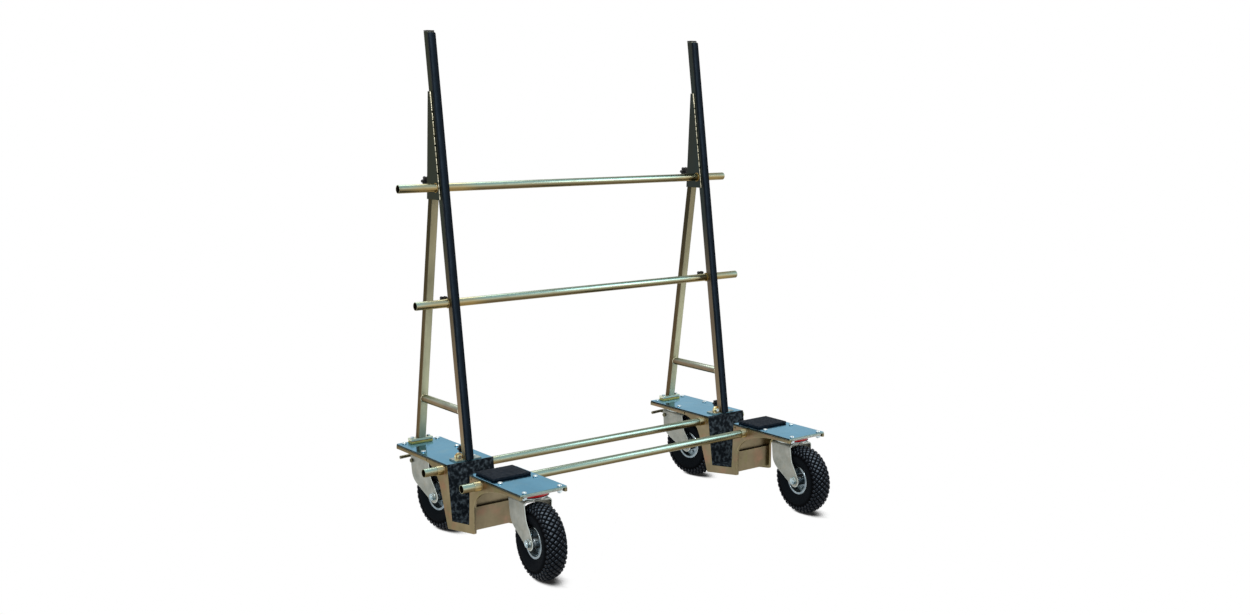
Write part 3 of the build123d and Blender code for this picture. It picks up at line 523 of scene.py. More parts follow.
def tube_plated(name, gold_share):
    """Drawn tube, golden near the units, with painted reflection and shade by facing: pale cyan on top, tan at its
    side, brown beneath; and painted shade, dark, inside its bore.
    """
    made = Finish(name, metallic=1.0, specular_tint=srgb(222, 222, 204))
    wander = made.clouds(7, -0.04, 0.04, detail=3, stretch=(0.3, 1, 1))
    # Painted reflection and shade: pale on faces that look up, brown on faces that look down
    colour = made.bands(
        made.upward(wander),
        (0.0, srgb(120, 106, 80)),
        (0.2, srgb(88, 72, 48)),
        (0.42, srgb(128, 116, 84)),
        (0.58, srgb(176, 184, 160)),
        (0.74, srgb(150, 190, 184)),
        (0.93, srgb(146, 162, 146)),
    )
    along = made.scaled((1, 0, 0))
    near = made.smallest([made.vector_math("DISTANCE", along, (x, 0, 0)) for x in unit_x.values()])
    colour = made.blend(made.spread(near, gold_share, 0, *gold_reach), colour, srgb(184, 152, 88))
    drawn = (0.5, 1, 1)
    colour = made.stained(colour, srgb(120, 108, 78), 46, most=0.3, start=0.58, end=0.75, stretch=drawn)
    # Painted shade: dark inside the tubes' bores
    cross = made.scaled((0, 1, 1))
    axes = [(0, *tube_axis(tube)) for tube in tubes]
    depth = made.smallest([made.vector_math("DISTANCE", cross, axis) for axis in axes])
    bore_shade = made.spread(depth, 1, 0, *[tube_bore + edge for edge in bore_shade_edge])
    return made.set(
        base_color=made.blend(bore_shade, colour, srgb(46, 40, 30)),
        roughness=made.clouds(160, 0.16, 0.3, detail=3, stretch=(0.1, 1, 1)),
        normal=made.bump(made.noise(260, stretch=(0.08, 1, 1)), 0.00003),
    )


def wheel_plated(name, under, across, over, rough):
    """Bright zinc on round wheel parts, with painted reflection and shade by facing: pale where it faces up,
    greyer at its sides, dark beneath.
    """
    made = Finish(name, metallic=1.0)
    wander = made.clouds(60, -0.07, 0.07, detail=3)
    # Painted reflection and shade: pale on faces that look up, dark on faces that look down
    colour = made.bands(made.upward(wander), (0.12, under), (0.45, across), (0.82, over))
    return made.set(
        base_color=made.stained(colour, srgb(150, 144, 128), 100, most=0.4, start=0.5),
        roughness=made.clouds(140, *rough, detail=3),
        normal=made.bump(made.noise(300), 0.00004),
    )


def foot_plated(name):
    """The mast feet's plating: gold lug on a blue flange in front, pale green on the rear block, with painted
    shade in the block's groove.
    """
    made = Finish(name, metallic=1.0)
    back = made.spread(made.axis(made.place, "Y"), 0, 1, *[rest_y + behind for behind in feet_split])
    height = made.math("SUBTRACT", made.axis(made.place, "Z"), deck_height)
    gold = made.stained(srgb(158, 118, 46), srgb(255, 242, 190), 75, start=0.4, end=0.6)
    flange = made.spread(height, 0.75, 0, foot_plate, foot_plate + flange_edge)
    gold = made.blend(flange, gold, srgb(122, 158, 170))
    pale = made.stained(srgb(182, 192, 168), srgb(216, 224, 204), 45)
    low = made.spread(height, 1, 0, block_groove_foot, block_groove_head)
    pale = made.blend(low, pale, srgb(214, 190, 108))
    # Painted shade: a dark band in the groove between the rear block's layers
    over = made.spread(height, 0, 0.85, block_groove_foot - block_groove_edge, block_groove_foot)
    under = made.spread(height, 1, 0, block_groove_head, block_groove_head + block_groove_edge)
    pale = made.blend(made.math("MULTIPLY", over, under), pale, srgb(84, 62, 26))
    return made.set(
        base_color=made.blend(back, gold, pale),
        roughness=made.clouds(120, 0.3, 0.44, detail=3),
        normal=made.bump(made.noise(160, 4), 0.00005),
    )


def strip_rubber(name):
    """The mast's strip: black rubber with a painted highlight band along its left side and painted shade towards
    its right edge.
    """
    made = Finish(name, specular_level=0.04)
    along = made.axis(made.place, "X")
    step = unit_x["right"] - unit_x["left"]
    middle = made.math("MULTIPLY", made.math("GREATER_THAN", along, 0), step)
    across = made.math("SUBTRACT", made.math("SUBTRACT", along, unit_x["left"]), middle)
    wander = made.clouds(9, -0.05, 0.05, stretch=(0.2, 1, 1))
    share = made.math("ADD", made.spread(across, 0, 1, -leg_width / 2, leg_width / 2), wander)
    # Painted highlight near the left side, painted shade at the right edge
    colour = made.bands(
        share,
        (0.0, srgb(10, 20, 28)),
        (0.2, srgb(44, 56, 68)),
        (0.38, srgb(24, 36, 47)),
        (0.65, srgb(13, 23, 32)),
        (0.88, srgb(16, 20, 25)),
        (0.97, srgb(2, 3, 5)),
    )
    return made.set(
        base_color=made.stained(colour, srgb(9, 16, 24), 26, most=0.45, detail=5),
        roughness=made.clouds(60, 0.42, 0.58),
        normal=made.bump(made.noise(90, 4), 0.0003),
    )


def rubber(name, dark, light, mottles, mottle_stops, grains, grain_depth, dust_and_highlight, dusty):
    """Rubber with a mottled colour, a grainy skin and pale dust."""
    made = Finish(name, specular_level=0.045)
    start, end = mottle_stops
    colour = made.stained(dark, light, mottles, detail=6, start=start, end=end)
    skin_grain = made.bump(made.specks(grains), grain_depth)
    return made.set(
        base_color=made.stained(colour, dust_and_highlight, 260, most=dusty, detail=5, start=0.55, end=0.75),
        roughness=made.clouds(60, 0.6, 0.8),
        normal=made.bump(made.noise(46, 4), 0.0006, under=skin_grain),
    )


def tyre_rubber(name):
    """Tyre rubber: painted shade, near black, in the grooves, a painted highlight on the block edges, and a
    painted highlight on the blocks that face the light.
    """
    made = Finish(name)
    wear_and_shade = made.node("ShaderNodeAttribute")
    wear_and_shade.attribute_name = "wear_and_shade"
    worn_and_shaded = wear_and_shade.outputs["Fac"]
    # Painted shade, near black, deep in the grooves, and a painted highlight on the block edges
    colour = made.bands(
        worn_and_shaded,
        (0.1, srgb(4, 4, 5)),
        (0.3, srgb(17, 21, 25)),
        (0.6, srgb(25, 31, 38)),
        (0.8, srgb(32, 39, 49)),
        (0.97, srgb(15, 19, 26)),
    )
    colour = made.stained(colour, srgb(12, 14, 18), 90, most=0.5, detail=5)
    # Painted highlight, in patches, on the block tops that face the light
    dust_and_highlight = made.spread(made.vector_math("DOT_PRODUCT", made.normal(), highlight_side), 0, 0.55, 0.8, 0.99)
    dust_and_highlight = made.math("MULTIPLY", dust_and_highlight, made.spread(worn_and_shaded, 0, 1, 0.5, 0.9))
    dust_and_highlight = made.math("MULTIPLY", dust_and_highlight, made.clouds(130, 0.2, 1, detail=3))
    return made.set(
        base_color=made.blend(dust_and_highlight, colour, srgb(136, 152, 166)),
        roughness=made.spread(worn_and_shaded, 0.8, 0.3, 0.3, 1),
        specular_level=made.spread(worn_and_shaded, 0.03, 0.1, 0.55, 1),
        normal=made.bump(made.noise(420), 0.00025),
    )


def moulded(name, dark, light, rough):
    """Moulded plastic with a fine spark-eroded grain."""
    made = Finish(name, specular_level=0.35)
    return made.set(
        base_color=made.stained(dark, light, 70),
        roughness=made.clouds(130, *rough, detail=3),
        normal=made.bump(made.noise(900, 2), 0.00008),
    )


# One finish for each of the record's slots, and a few for single kinds of piece
finishes = {
    "deck_zinc": deck_plated("deck_zinc"),
    "gold_plate": sheet_plated("gold_plate"),
    "gold_bright": plated(
        "gold_bright", dark=srgb(140, 120, 68), light=srgb(190, 174, 116), tint=srgb(184, 188, 150),
        rough=(0.16, 0.30), patch=30
    ),
    "mast_gold": mast_plated(
        "mast_gold", low_side=srgb(142, 122, 100), high_side=srgb(46, 54, 54),
        low_front=srgb(150, 142, 112), high_front=srgb(56, 60, 54)
    ),
    "strut_gold": mast_plated(
        "strut_gold", low_side=srgb(112, 92, 66), high_side=srgb(64, 58, 42),
        low_front=srgb(206, 210, 180), high_front=srgb(158, 150, 120), rough=(0.5, 0.64)
    ),
    "foot_gold": foot_plated("foot_gold"),
    "tube_zinc": tube_plated("tube_zinc", gold_share=0.38),
    "sleeve_gold": tube_plated("sleeve_gold", gold_share=0.85),
    "fork_zinc": plated(
        "fork_zinc", dark=srgb(138, 142, 134), light=srgb(166, 168, 160), tint=srgb(156, 152, 138),
        rough=(0.42, 0.6), patch=22
    ),
    "rim_zinc": wheel_plated(
        "rim_zinc", under=srgb(70, 72, 72), across=srgb(112, 128, 138), over=srgb(214, 228, 232),
        rough=(0.2, 0.34)
    ),
    "axle_zinc": wheel_plated(
        "axle_zinc", under=srgb(46, 56, 60), across=srgb(150, 176, 184), over=srgb(238, 248, 250),
        rough=(0.16, 0.28)
    ),
    "bright_zinc": plated(
        "bright_zinc", dark=srgb(166, 186, 194), light=srgb(226, 238, 242), tint=srgb(200, 212, 204),
        rough=(0.12, 0.26), patch=60
    ),
    "pedal_steel": plated(
        "pedal_steel", dark=srgb(82, 80, 62), light=srgb(126, 124, 100), tint=srgb(100, 92, 70),
        rough=(0.32, 0.5), patch=40
    ),
    "black_rubber": rubber(
        "black_rubber", dark=srgb(11, 18, 24), light=srgb(78, 90, 98), mottles=74,
        mottle_stops=(0.48, 0.74), grains=620, grain_depth=0.0005, dust_and_highlight=srgb(64, 72, 80), dusty=0.3
    ),
    "pad_rubber": rubber(
        "pad_rubber", dark=srgb(14, 20, 27), light=srgb(30, 38, 47), mottles=150,
        mottle_stops=(0.4, 0.62), grains=520, grain_depth=0.0007, dust_and_highlight=srgb(72, 82, 92), dusty=0.4
    ),
    "facing_rubber": strip_rubber("facing_rubber"),
    "tyre": tyre_rubber("tyre"),
    "black_plastic": moulded(
        "black_plastic", dark=srgb(7, 7, 8), light=srgb(16, 16, 18), rough=(0.35, 0.5)
    ),
    "weld_steel": plated(
        "weld_steel", dark=srgb(168, 160, 124), light=srgb(240, 236, 214), tint=srgb(214, 218, 206),
        rough=(0.24, 0.4), patch=150
    ),
    "red_seal": moulded("red_seal", dark=srgb(196, 14, 20), light=srgb(226, 34, 38), rough=(0.3, 0.45)),
}

# Finishes for the bevelled edges, by the slot of the steel that they belong to: painted highlights, lighter than
# their steel, on the sheet, fork and mast, and painted shade, darker, on the decks
edges = {
    "gold_plate": plated(
        "gold_edge", dark=srgb(132, 124, 88), light=srgb(172, 162, 122), tint=srgb(166, 158, 112),
        rough=(0.24, 0.36), patch=40
    ),
    "deck_zinc": plated(
        "deck_edge", dark=srgb(34, 46, 52), light=srgb(120, 152, 162), tint=srgb(96, 116, 116),
        rough=(0.16, 0.3), patch=70
    ),
    "fork_zinc": plated(
        "fork_edge", dark=srgb(186, 196, 192), light=srgb(220, 228, 224), tint=srgb(206, 210, 198),
        rough=(0.2, 0.34), patch=40
    ),
    "mast_gold": mast_plated(
        "mast_edge", low_side=srgb(158, 142, 112), high_side=srgb(52, 54, 44),
        low_front=srgb(166, 158, 128), high_front=srgb(66, 68, 56)
    ),
}


# CAD nodes

own_finishes = {
    "rear_leg": "strut_gold",
    "mast_feet": "foot_gold",
    "tube_sleeves": "sleeve_gold",
    "axle": "axle_zinc",
}


def by_ending(node, table, otherwise):
    """The table's value for a node, by how the node's name ends."""
    for ending, value in table.items():
        if node.endswith(ending):
            return value
    return otherwise


def dress_node(node, slot):
    """Gives a CAD node its finish and softens its cut edges."""
    shown = frame["nodes"][node]
    shown.data.materials.clear()
    shown.data.materials.append(finishes[by_ending(node, own_finishes, slot)])
    weld = shown.modifiers.new("weld", "WELD")
    weld.merge_threshold = merge_distance
    bevel = shown.modifiers.new("edges", "BEVEL")
    bevel.width = by_ending(node, edge_widths, plain_edge)
    bevel.segments = edge_segments
    bevel.limit_method = "ANGLE"
    bevel.angle_limit = edge_angle
    bevel.use_clamp_overlap = False
    bevel.loop_slide = False
    bevel.harden_normals = True
    # The bevelled edges take their own finish: a painted highlight, or painted shade on the decks
    if slot in edges:
        shown.data.materials.append(edges[slot])
        bevel.material = 1


for part in frame["record"]["subparts"]:
    dress_node(part["node"], part["material_slot"])


# Shared mesh helpers

def skin(rings, loop=False):
    """Vertices and faces over a row of closed rings; the ends are capped unless the row is a loop."""
    points = [point for ring in rings for point in ring]
    size = len(rings[0])
    faces = []
    rows = len(rings) if loop else len(rings) - 1
    for row in range(rows):
        here = row * size
        there = (row + 1) % len(rings) * size
        for step in range(size):
            turn = (step + 1) % size
            faces.append((here + step, here + turn, there + turn, there + step))
    if not loop:
        faces.append(tuple(range(size)))
        faces.append(tuple(range(len(points) - size, len(points))))
    return points, faces


def show(mesh, finish):
    """A smooth object from a mesh, in one finish."""
    mesh.polygons.foreach_set("use_smooth", [True] * len(mesh.polygons))
    mesh.materials.append(finishes[finish])
    made = bpy.data.objects.new(mesh.name, mesh)
    scene.collection.objects.link(made)
    return made


def add_piece(name, shapes, slot, body, finish=None):
    """One mesh object from several (vertices, faces) shapes, riding on a body."""
    points = []
    faces = []
    for shape_points, shape_faces in shapes:
        start = len(points)
        points.extend(shape_points)
        faces.extend(tuple(start + corner for corner in face) for face in shape_faces)
    mesh = bpy.data.meshes.new(name)
    mesh.from_pydata(points, [], faces)
    built = bmesh.new()
    built.from_mesh(mesh)
    bmesh.ops.recalc_face_normals(built, faces=built.faces)
    built.to_mesh(mesh)
    built.free()
    made = show(mesh, finish or slot)
    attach(made, body)
    return made


def smooth_step(value):
    """Eases a value from 0 to 1."""
    share = np.clip(value, 0, 1)
    return share * share * (3 - 2 * share)


def joint_of(name):
    """A joint of the frame by its name."""
    return next(joint for joint in frame["joints"] if joint["name"] == name)


def circle(centre, normal, radius, count):
    """Points round a circle."""
    side = normal.orthogonal().normalized()
    over = normal.cross(side)
    turns = [2 * pi * step / count for step in range(count)]
    return [centre + (side * cos(turn) + over * sin(turn)) * radius for turn in turns]


def round_bar(path, radii, sides=bead_sides, loop=False):
    """A round bar along a path, with a radius at each of its points."""
    rings = []
    count = len(path)
    turns = [2 * pi * corner / sides for corner in range(sides)]
    for step, point in enumerate(path):
        behind = path[step - 1] if loop else path[max(step - 1, 0)]
        ahead = path[(step + 1) % count] if loop else path[min(step + 1, count - 1)]
        along = (ahead - behind).normalized()
        if step == 0:
            side = along.orthogonal().normalized()
        else:
            side = (side - along * side.dot(along)).normalized()
        over = along.cross(side)
        rings.append([point + (side * cos(turn) + over * sin(turn)) * radii[step] for turn in turns])
    return skin(rings, loop)


def turned(centre, profile):
    """A ring turned about the vertical, from its closed (radius, height) outline."""
    rings = []
    for step in range(ring_steps):
        turn = 2 * pi * step / ring_steps
        out = Vector((cos(turn), sin(turn), 0))
        rings.append([centre + out * radius + up * height for radius, height in profile])
    return skin(rings, loop=True)


# Tyres and castors

def arc(start, middle, end, count):
    """Points along the arc through three points, taken as complex numbers."""
    first, second, third = (complex(*point) for point in (start, middle, end))
    ratio = (third - first) / (second - first)
    centre = first + (second - first) * (ratio - abs(ratio) ** 2) / (2j * ratio.imag)
    turns = np.unwrap(np.angle(np.array([first, second, third]) - centre))
    turns = np.linspace(turns[0], turns[2], count)
    points = centre + abs(first - centre) * np.exp(1j * turns)
    return np.stack([points.real, points.imag], axis=1)


def tyre_profile():
    """Evenly spaced (across, radius) points over the tyre's outside, and their way from its middle."""
    shoulder = (shoulder_half_width, tyre_radius - shoulder_drop)
    far_shoulder = (-shoulder_half_width, tyre_radius - shoulder_drop)
    bulge = (tyre_half_width, tyre_radius - tyre_bulge_drop)
    wall = arc((bead_half_width, rim_radius), bulge, shoulder, arc_steps)
    crown = arc(shoulder, (0, tyre_radius), far_shoulder, arc_steps)
    other_wall = wall[::-1] * (-1, 1)
    whole = np.concatenate([wall[:-1], crown[:-1], other_wall])
    run = np.concatenate([[0], np.cumsum(np.linalg.norm(np.diff(whole, axis=0), axis=1))])
    even = np.linspace(0, run[-1], profile_steps)
    points = np.stack([np.interp(even, run, whole[:, axis]) for axis in (0, 1)], axis=1)
    return points, even - run[-1] / 2


def outward_of(profile):
    """The unit directions that point out of the tyre's profile."""
    slope = np.gradient(profile, axis=0)
    outward = np.stack([-slope[:, 1], slope[:, 0]], axis=1)
    outward /= np.linalg.norm(outward, axis=1)[:, None]
    return outward * np.sign(outward[len(outward) // 2, 1])


def tread_drop(turn, reach):
    """How far the surface lies below the tyre's outside: diamond blocks with grooves between them."""
    around = blocks_around * turn / (2 * pi)
    across = reach / row_pitch
    first = around + across / 2
    second = around - across / 2
    row = np.floor(first) - np.floor(second)
    first = first % 1
    second = second % 1
    inside = np.minimum(np.minimum(first, 1 - first), np.minimum(second, 1 - second))
    block = smooth_step((inside - tread_groove_share) / tread_wall_share)
    block = block * (np.abs(row * row_pitch) <= tread_reach)
    depth = tread_depth * (1 - smooth_step((np.abs(reach) - tread_reach - row_pitch / 2) / tread_fade))
    return depth * (1 - block)


def wheel_frame(unit, place):
    """A wheel's centre and axle direction, from its rolling joint."""
    joint = joint_of(f"{unit}_{place}_roll")
    return Vector(joint["pos_m"]), Vector(joint["axis"]).normalized()


def tyre_piece(unit, place):
    """A pneumatic tyre with its diamond block tread; each vertex keeps how worn it is, high on the block tops and
    low in the grooves, which its finish also uses for painted shade in the grooves.
    """
    centre, axle = wheel_frame(unit, place)
    forward = axle.cross(up)
    profile, reach = tyre_profile()
    outward = outward_of(profile)
    off_ribs = [(profile[:, 1] - radius) / sidewall_rib_width for radius in sidewall_ribs]
    ribs = sidewall_rib * sum(np.exp(-(off**2)) for off in off_ribs) * (np.abs(reach) > tread_reach)
    off_tread = smooth_step((np.abs(reach) - tread_reach) / tread_fade)
    rings = []
    wear_and_shade = []
    tyre_rings = blocks_around * rings_per_block
    for step in range(tyre_rings):
        turn = 2 * pi * step / tyre_rings
        depth = tread_drop(turn, reach)
        shape = profile + outward * (ribs - depth)[:, None]
        beads = [(bead_half_width, rim_bed_radius), *shape, (-bead_half_width, rim_bed_radius)]
        radial = forward * sin(turn) + up * cos(turn)
        rings.append([centre + axle * across + radial * radius for across, radius in beads])
        worn_and_shaded = (1 - depth / tread_depth) * (1 - wall_wear * off_tread)
        wear_and_shade.extend([1 - wall_wear, *worn_and_shaded, 1 - wall_wear])
    name = f"{unit}_{place}"
    made = add_piece(f"{name}_block_tyre", [skin(rings, loop=True)], "tyre", f"{name}_wheel")
    layer = made.data.attributes.new("wear_and_shade", "FLOAT", "POINT")
    layer.data.foreach_set("value", wear_and_shade)
    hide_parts(f"{unit}_{place}_tyre")


def rim_lips(unit, place):
    """The rolled lips of a rim."""
    centre, axle = wheel_frame(unit, place)
    shapes = []
    for side in (-1, 1):
        middle = centre + axle * side * (rim_half_width - lip_radius)
        lip = circle(middle, axle, rim_radius - lip_radius / 2, ring_steps)
        shapes.append(round_bar(lip, [lip_radius] * ring_steps, lip_sides, loop=True))
    add_piece(f"{unit}_{place}_rim_lips", shapes, "bright_zinc", f"{unit}_{place}_wheel")


def tyre_valve(unit, place):
    """The valve in a rim's bed, thicker at its base."""
    centre, axle = wheel_frame(unit, place)
    radial = (axle.cross(up) - up).normalized()
    seat = centre + axle * valve_across
    heights = np.linspace(rim_bed_radius - valve_sink, valve_inner, valve_steps)
    path = [seat + radial * height for height in heights]
    thinner = valve_base - valve_neck
    shares = [valve_base - thinner * smooth_step(step / valve_base_steps) for step in range(valve_steps)]
    shares[-1] = valve_tip
    radii = [valve_radius * share for share in shares]
    stem = round_bar(path, radii, valve_sides)
    add_piece(f"{unit}_{place}_valve", [stem], "black_plastic", f"{unit}_{place}_wheel")


def swivel_foot(unit, place):
    """The point on the floor below a castor's kingpin."""
    pivot = Vector(joint_of(f"{unit}_{place}_swivel")["pos_m"])
    return Vector((pivot.x, pivot.y, 0))


def seal_skirt(unit, place):
    """The red skirt over a castor's races."""
    outline = [
        (seal_bore, seal_foot),
        (seal_radius - seal_lip, seal_foot),
        (seal_radius, seal_foot + seal_lip),
        (seal_radius, seal_top - 2 * seal_lip),
        (seal_radius - seal_lip, seal_top),
        (seal_bore, seal_top),
    ]
    skirt = turned(swivel_foot(unit, place), outline)
    add_piece(f"{unit}_{place}_seal_skirt", [skirt], "red_seal", f"{unit}_unit")


def lower_race(unit, place):
    """The bright flare round the fork's lower race."""
    flare_radius = race_radius + race_flare
    outline = [
        (race_radius, race_top),
        (flare_radius - seal_lip, race_top),
        (flare_radius, race_top - seal_lip),
        (flare_radius, race_top - 2 * seal_lip),
        (race_radius, race_top - race_drop),
    ]
    flare = turned(swivel_foot(unit, place), outline)
    add_piece(f"{unit}_{place}_race_flare", [flare], "bright_zinc", f"{unit}_{place}_castor")


for unit in unit_x:
    for place in ("front", "rear"):
        tyre_piece(unit, place)
        rim_lips(unit, place)
        tyre_valve(unit, place)
        seal_skirt(unit, place)
        lower_race(unit, place)


# Rubber on the trough, the mast and the front deck

def liner_profile():
    """Closed (behind, along) outline of the trough's rubber sheet, dense where it shows."""
    floor = liner - trough_depth
    end = liner_end_gap - trough_width
    bend = -liner - liner_bend
    ends = np.linspace(-trough_depth + liner_corner, floor - liner_corner, liner_end_steps)
    floors = np.linspace(end + liner_corner, bend, liner_floor_steps)
    turns = np.linspace(0, pi / 2, liner_bend_steps)[1:]
    walls = np.linspace(floor + liner_bend, -liner_corner, liner_wall_steps)[1:]
    return [
        (0, 0),
        (0, -trough_depth),
        (end, -trough_depth),
        *((end, along) for along in ends),
        *((behind, floor) for behind in floors),
        *((bend + liner_bend * sin(turn), floor + liner_bend * (1 - cos(turn))) for turn in turns),
        *((-liner, along) for along in walls),
        (liner_corner - liner, 0),
    ]


def liner_piece(unit):
    """The rubber sheet on the trough's rear wall and floor, a little uneven."""
    low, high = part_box(f"{unit}_trough_liner")
    outline = liner_profile()
    inward = Vector((0, cos(lean), sin(lean)))
    rings = []
    for x in np.linspace(low.x, high.x, liner_width_steps):
        ring = []
        for behind, along in outline:
            point = lean_point(x, behind, along)
            if behind < -liner / 2:
                hollow = 0.5 + 0.5 * noise.noise(point * liner_sags)
                point += inward * liner_sag * hollow
            point.z = min(point.z, deck_height)
            ring.append(point)
        rings.append(ring)
    made = add_piece(f"{unit}_liner_sheet", [skin(rings)], "black_rubber", f"{unit}_unit")
    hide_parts(f"{unit}_trough_liner")


def groove_dip(across):
    """How far down in a groove of the strip a place is, 0 to 1."""
    nearest = min(abs(across - middle) for middle in groove_centres)
    return cos(pi / 2 * min(nearest / groove_half, 1))


def facing_profile():
    """Closed (across, out) outline of the mast's ribbed strip."""
    half = leg_width / 2
    corner_out = facing - facing_crown - facing_round
    corner = []
    for turn in np.linspace(pi, pi / 2, facing_corner_steps):
        across = -half + facing_round * (1 + cos(turn))
        corner.append((across, corner_out + facing_round * sin(turn)))
    face = []
    for across in np.linspace(-half + facing_round, half - facing_round, facing_width_steps)[1:-1]:
        crown = facing_crown * (across / half) ** 2
        face.append((across, facing - crown - groove_depth * groove_dip(across)))
    other_corner = [(-across, out) for across, out in reversed(corner)]
    return [(-half, 0), *corner, *face, *other_corner, (half, 0)]


def facing_stations(length):
    """Places along the strip, dense where its ends are rounded."""
    ends = np.linspace(0, facing_end_round, facing_end_steps)
    between = np.linspace(facing_end_gap, length - facing_end_gap, facing_length_steps)
    return [*ends, *between, *(length - ends[::-1])]


def facing_piece(unit):
    """The ribbed rubber strip down the front of the mast, rounded at both ends."""
    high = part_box(f"{unit}_leg_facing")[1]
    length = (high.z - deck_height) / cos(lean) - facing_foot - facing * tan(lean)
    outline = facing_profile()
    out = Vector((0, -cos(lean), sin(lean)))
    x = unit_x[unit]
    rings = []
    for station in facing_stations(length):
        from_end = min(station, length - station, facing_end_round) / facing_end_round
        inset = facing_end_inset * (1 - sqrt(1 - (1 - from_end) ** 2))
        narrower = 1 - 2 * inset / leg_width
        lower = 1 - inset / facing
        foot = lean_point(x, leg_front, facing_foot + station)
        ring = []
        for across, height in outline:
            wave = Vector((across * facing_ripples_across, station * facing_ripples_along, x))
            ripple = facing_ripple * noise.noise(wave) if height > facing / 2 else 0
            ring.append(foot + Vector((across * narrower, 0, 0)) + out * (height * lower + ripple))
        rings.append(ring)
    strip = skin(rings)
    made = add_piece(f"{unit}_ribbed_facing", [strip], "black_rubber", f"{unit}_unit", "facing_rubber")
    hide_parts(f"{unit}_leg_facing")


def pad_piece(unit):
    """The rubber pad on the front deck: rounded edges, a slight crown and a granular top."""
    low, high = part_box(f"{unit}_deck_pad")
    middle = (low + high) / 2
    size = high - low
    built = bmesh.new()
    bmesh.ops.create_cube(built, size=1)
    bmesh.ops.scale(built, vec=size, verts=built.verts)
    rounding = {"offset": pad_round, "segments": pad_round_steps, "profile": 0.5, "affect": "EDGES"}
    bmesh.ops.bevel(built, geom=built.edges[:], **rounding)
    long_edges = [edge for edge in built.edges if edge.calc_length() > size.z]
    bmesh.ops.subdivide_edges(built, edges=long_edges, cuts=pad_cuts, use_grid_fill=True)
    for corner in built.verts:
        if corner.co.z > size.z / 2 - pad_round:
            share = (2 * corner.co.x / size.x) ** 2 + (2 * corner.co.y / size.y) ** 2
            grain = pad_grain * noise.noise(corner.co * pad_grains)
            corner.co.z += grain - pad_grain - pad_crown * min(share, 1)
        corner.co += middle
    mesh = bpy.data.meshes.new(f"{unit}_rubber_pad")
    built.to_mesh(mesh)
    built.free()
    made = show(mesh, "pad_rubber")
    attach(made, f"{unit}_unit")
    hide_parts(f"{unit}_deck_pad")


for unit in unit_x:
    liner_piece(unit)
    facing_piece(unit)
    pad_piece(unit)


# Welds

def bead(path, radius=bead_radius, loop=False):
    """A rippled weld bead along a path."""
    radii = []
    for step, point in enumerate(path):
        scallop = 1 - bead_scallop + bead_scallop * abs(cos(pi * step * bead_step / bead_ripple))
        radii.append(radius * scallop * (1 + bead_lump * noise.noise(point * bead_lumps)))
    if not loop:
        radii[0] *= bead_end
        radii[-1] *= bead_end
    return round_bar(path, radii, loop=loop)


def line(start, end):
    """Points from start to end, one weld step apart."""
    count = max(ceil((end - start).length / bead_step), bead_least_steps)
    return [start.lerp(end, step / count) for step in range(count + 1)]


def steps_round(radius):
    """How many weld steps go round a circle."""
    return ceil(2 * pi * radius / bead_step)


def stitches(start, end):
    """Beads of uneven length and spacing along a line."""
    whole = (end - start).length
    shapes = []
    place = 0.0
    while place + stitch_length / 2 < whole:
        reach = min(place + stitch_length * random.uniform(*stitch_length_shares), whole)
        path = line(start.lerp(end, place / whole), start.lerp(end, reach / whole))
        shapes.append(bead(path, stitch_radius))
        place = reach + stitch_gap * random.uniform(*stitch_gap_shares)
    return shapes


def rung_end(x, leg_y, offset):
    """Points round an end of the rung, on the leaning face of a leg."""
    count = steps_round(rung_radius)
    path = []
    for step in range(count):
        turn = 2 * pi * step / count
        height = rung_height + rung_radius * sin(turn)
        path.append(Vector((x + rung_radius * cos(turn), leg_y(offset, height), height)))
    return path


def mast_welds(unit):
    """The gusset's stitches, the long bead at its tip and the rung's two ends."""
    x = unit_x[unit]
    face = x - leg_width / 2 - gusset / 2
    front = leg_rear - gusset_lap
    foot = Vector((face, lean_y(front, gusset_bottom), gusset_bottom))
    head = Vector((face, lean_y(front, gusset_top), gusset_top))
    shapes = stitches(foot, head)
    tip = head.lerp(foot, tip_bead / (head - foot).length)
    shapes.append(bead(line(head, tip), tip_radius))
    for leg_y, offset in ((lean_y, leg_rear), (rear_leg_y, leg_depth)):
        shapes.append(bead(rung_end(x, leg_y, offset), loop=True))
    add_piece(f"{unit}_mast_welds", shapes, "bright_zinc", f"{unit}_unit", "weld_steel")


def sleeve_welds(unit):
    """Ring welds where the tubes' sleeves leave the side plate, the leg and the gusset."""
    plate_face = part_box(f"{unit}_side_plates")[0].x
    leg_face = unit_x[unit] - leg_width / 2
    faces = {
        "lower_rear": plate_face,
        "lower_front": plate_face,
        "middle": leg_face,
        "top": leg_face - gusset,
    }
    along = Vector((1, 0, 0))
    shapes = []
    for tube, face in faces.items():
        centre = Vector((face, *tube_axis(tube)))
        path = circle(centre, along, sleeve_radius, steps_round(sleeve_radius))
        shapes.append(bead(path, ring_bead, loop=True))
    add_piece(f"{unit}_sleeve_welds", shapes, "gold_bright", f"{unit}_unit", "gold_plate")


for unit in unit_x:
    mast_welds(unit)
    sleeve_welds(unit)


# Studio and camera

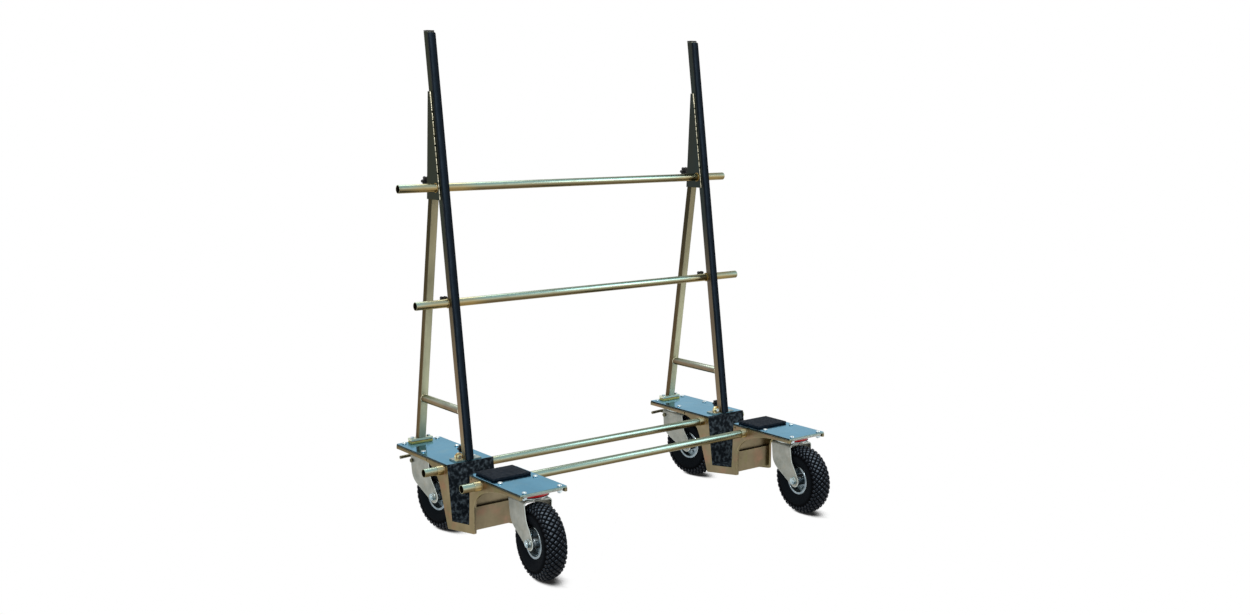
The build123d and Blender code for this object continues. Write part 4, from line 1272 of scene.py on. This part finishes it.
def floor_finish():
    """A pale floor that is seen as white, and darkens where a wheel stands close over it."""
    made = Finish("pale_floor", roughness=floor_rough)
    made.set(base_color=made.clouds(3, floor_grey - floor_mottle, floor_grey, detail=3))
    tilt = made.node("ShaderNodeCombineXYZ", **dict(zip("XYZ", shadow_lean))).outputs["Vector"]
    room = made.node("ShaderNodeAmbientOcclusion", distance=shadow_reach, normal=tilt).outputs["AO"]
    lit = made.spread(room, shadow_dark, 1, *shadow_stops)
    glow = made.node("ShaderNodeEmission", color=white, strength=lit).outputs["Emission"]
    rays = made.node("ShaderNodeLightPath").outputs
    seen = made.math("MAXIMUM", rays["Is Camera Ray"], rays["Is Glossy Ray"])
    seen = made.math("MAXIMUM", seen, rays["Is Transmission Ray"])
    mix = made.tree.nodes.new("ShaderNodeMixShader")
    for socket, value in zip(mix.inputs, (seen, made.shader.outputs["BSDF"], glow)):
        made.feed(socket, value)
    made.feed(made.tree.nodes["Material Output"].inputs["Surface"], mix.outputs["Shader"])
    return made.material


def make_floor():
    """A wide floor that takes the wheels' shadows."""
    mesh = bpy.data.meshes.new("studio_floor")
    corners = ((-1, -1), (1, -1), (1, 1), (-1, 1))
    mesh.from_pydata([(x * floor_half, y * floor_half, 0) for x, y in corners], [], [(0, 1, 2, 3)])
    mesh.materials.append(floor_finish())
    floor = bpy.data.objects.new("studio_floor", mesh)
    scene.collection.objects.link(floor)


def make_world():
    """A soft dome: white at the horizon, greyer half way up, bright overhead."""
    world = bpy.data.worlds.new("studio")
    scene.world = world
    world.use_nodes = True
    tree = world.node_tree
    direction = tree.nodes.new("ShaderNodeTexCoord").outputs["Generated"]
    split = tree.nodes.new("ShaderNodeSeparateXYZ")
    ramp = tree.nodes.new("ShaderNodeValToRGB")
    tree.links.new(direction, split.inputs["Vector"])
    tree.links.new(split.outputs["Z"], ramp.inputs["Fac"])
    tree.links.new(ramp.outputs["Color"], tree.nodes["Background"].inputs["Color"])
    fill_ramp(ramp, [(place, (value, value, value, 1)) for place, value in dome_stops])


def make_lamps():
    """Large soft lamps round the cart."""
    for name, lamp in lamps.items():
        data = bpy.data.lights.new(name, "AREA")
        data.shape = "DISK"
        data.size = lamp["size"]
        data.energy = lamp["power"]
        made = bpy.data.objects.new(name, data)
        made.location = lamp["place"]
        aim = Vector(lamp_target) - made.location
        made.rotation_mode = "QUATERNION"
        made.rotation_quaternion = aim.to_track_quat("-Z", "Y")
        scene.collection.objects.link(made)


def make_camera():
    """The photograph's camera."""
    data = bpy.data.cameras.new("camera")
    data.sensor_fit = "HORIZONTAL"
    data.sensor_width = sensor_width
    data.lens = sensor_width * focal_pixels / image_width
    data.clip_end = 2 * floor_half
    made = bpy.data.objects.new("camera", data)
    made.location = camera_place
    made.rotation_euler = (radians(90 - camera_pitch), 0, radians(-camera_yaw))
    scene.collection.objects.link(made)
    scene.camera = made


make_floor()
make_world()
make_lamps()
make_camera()
scene.view_settings.view_transform = "Standard"
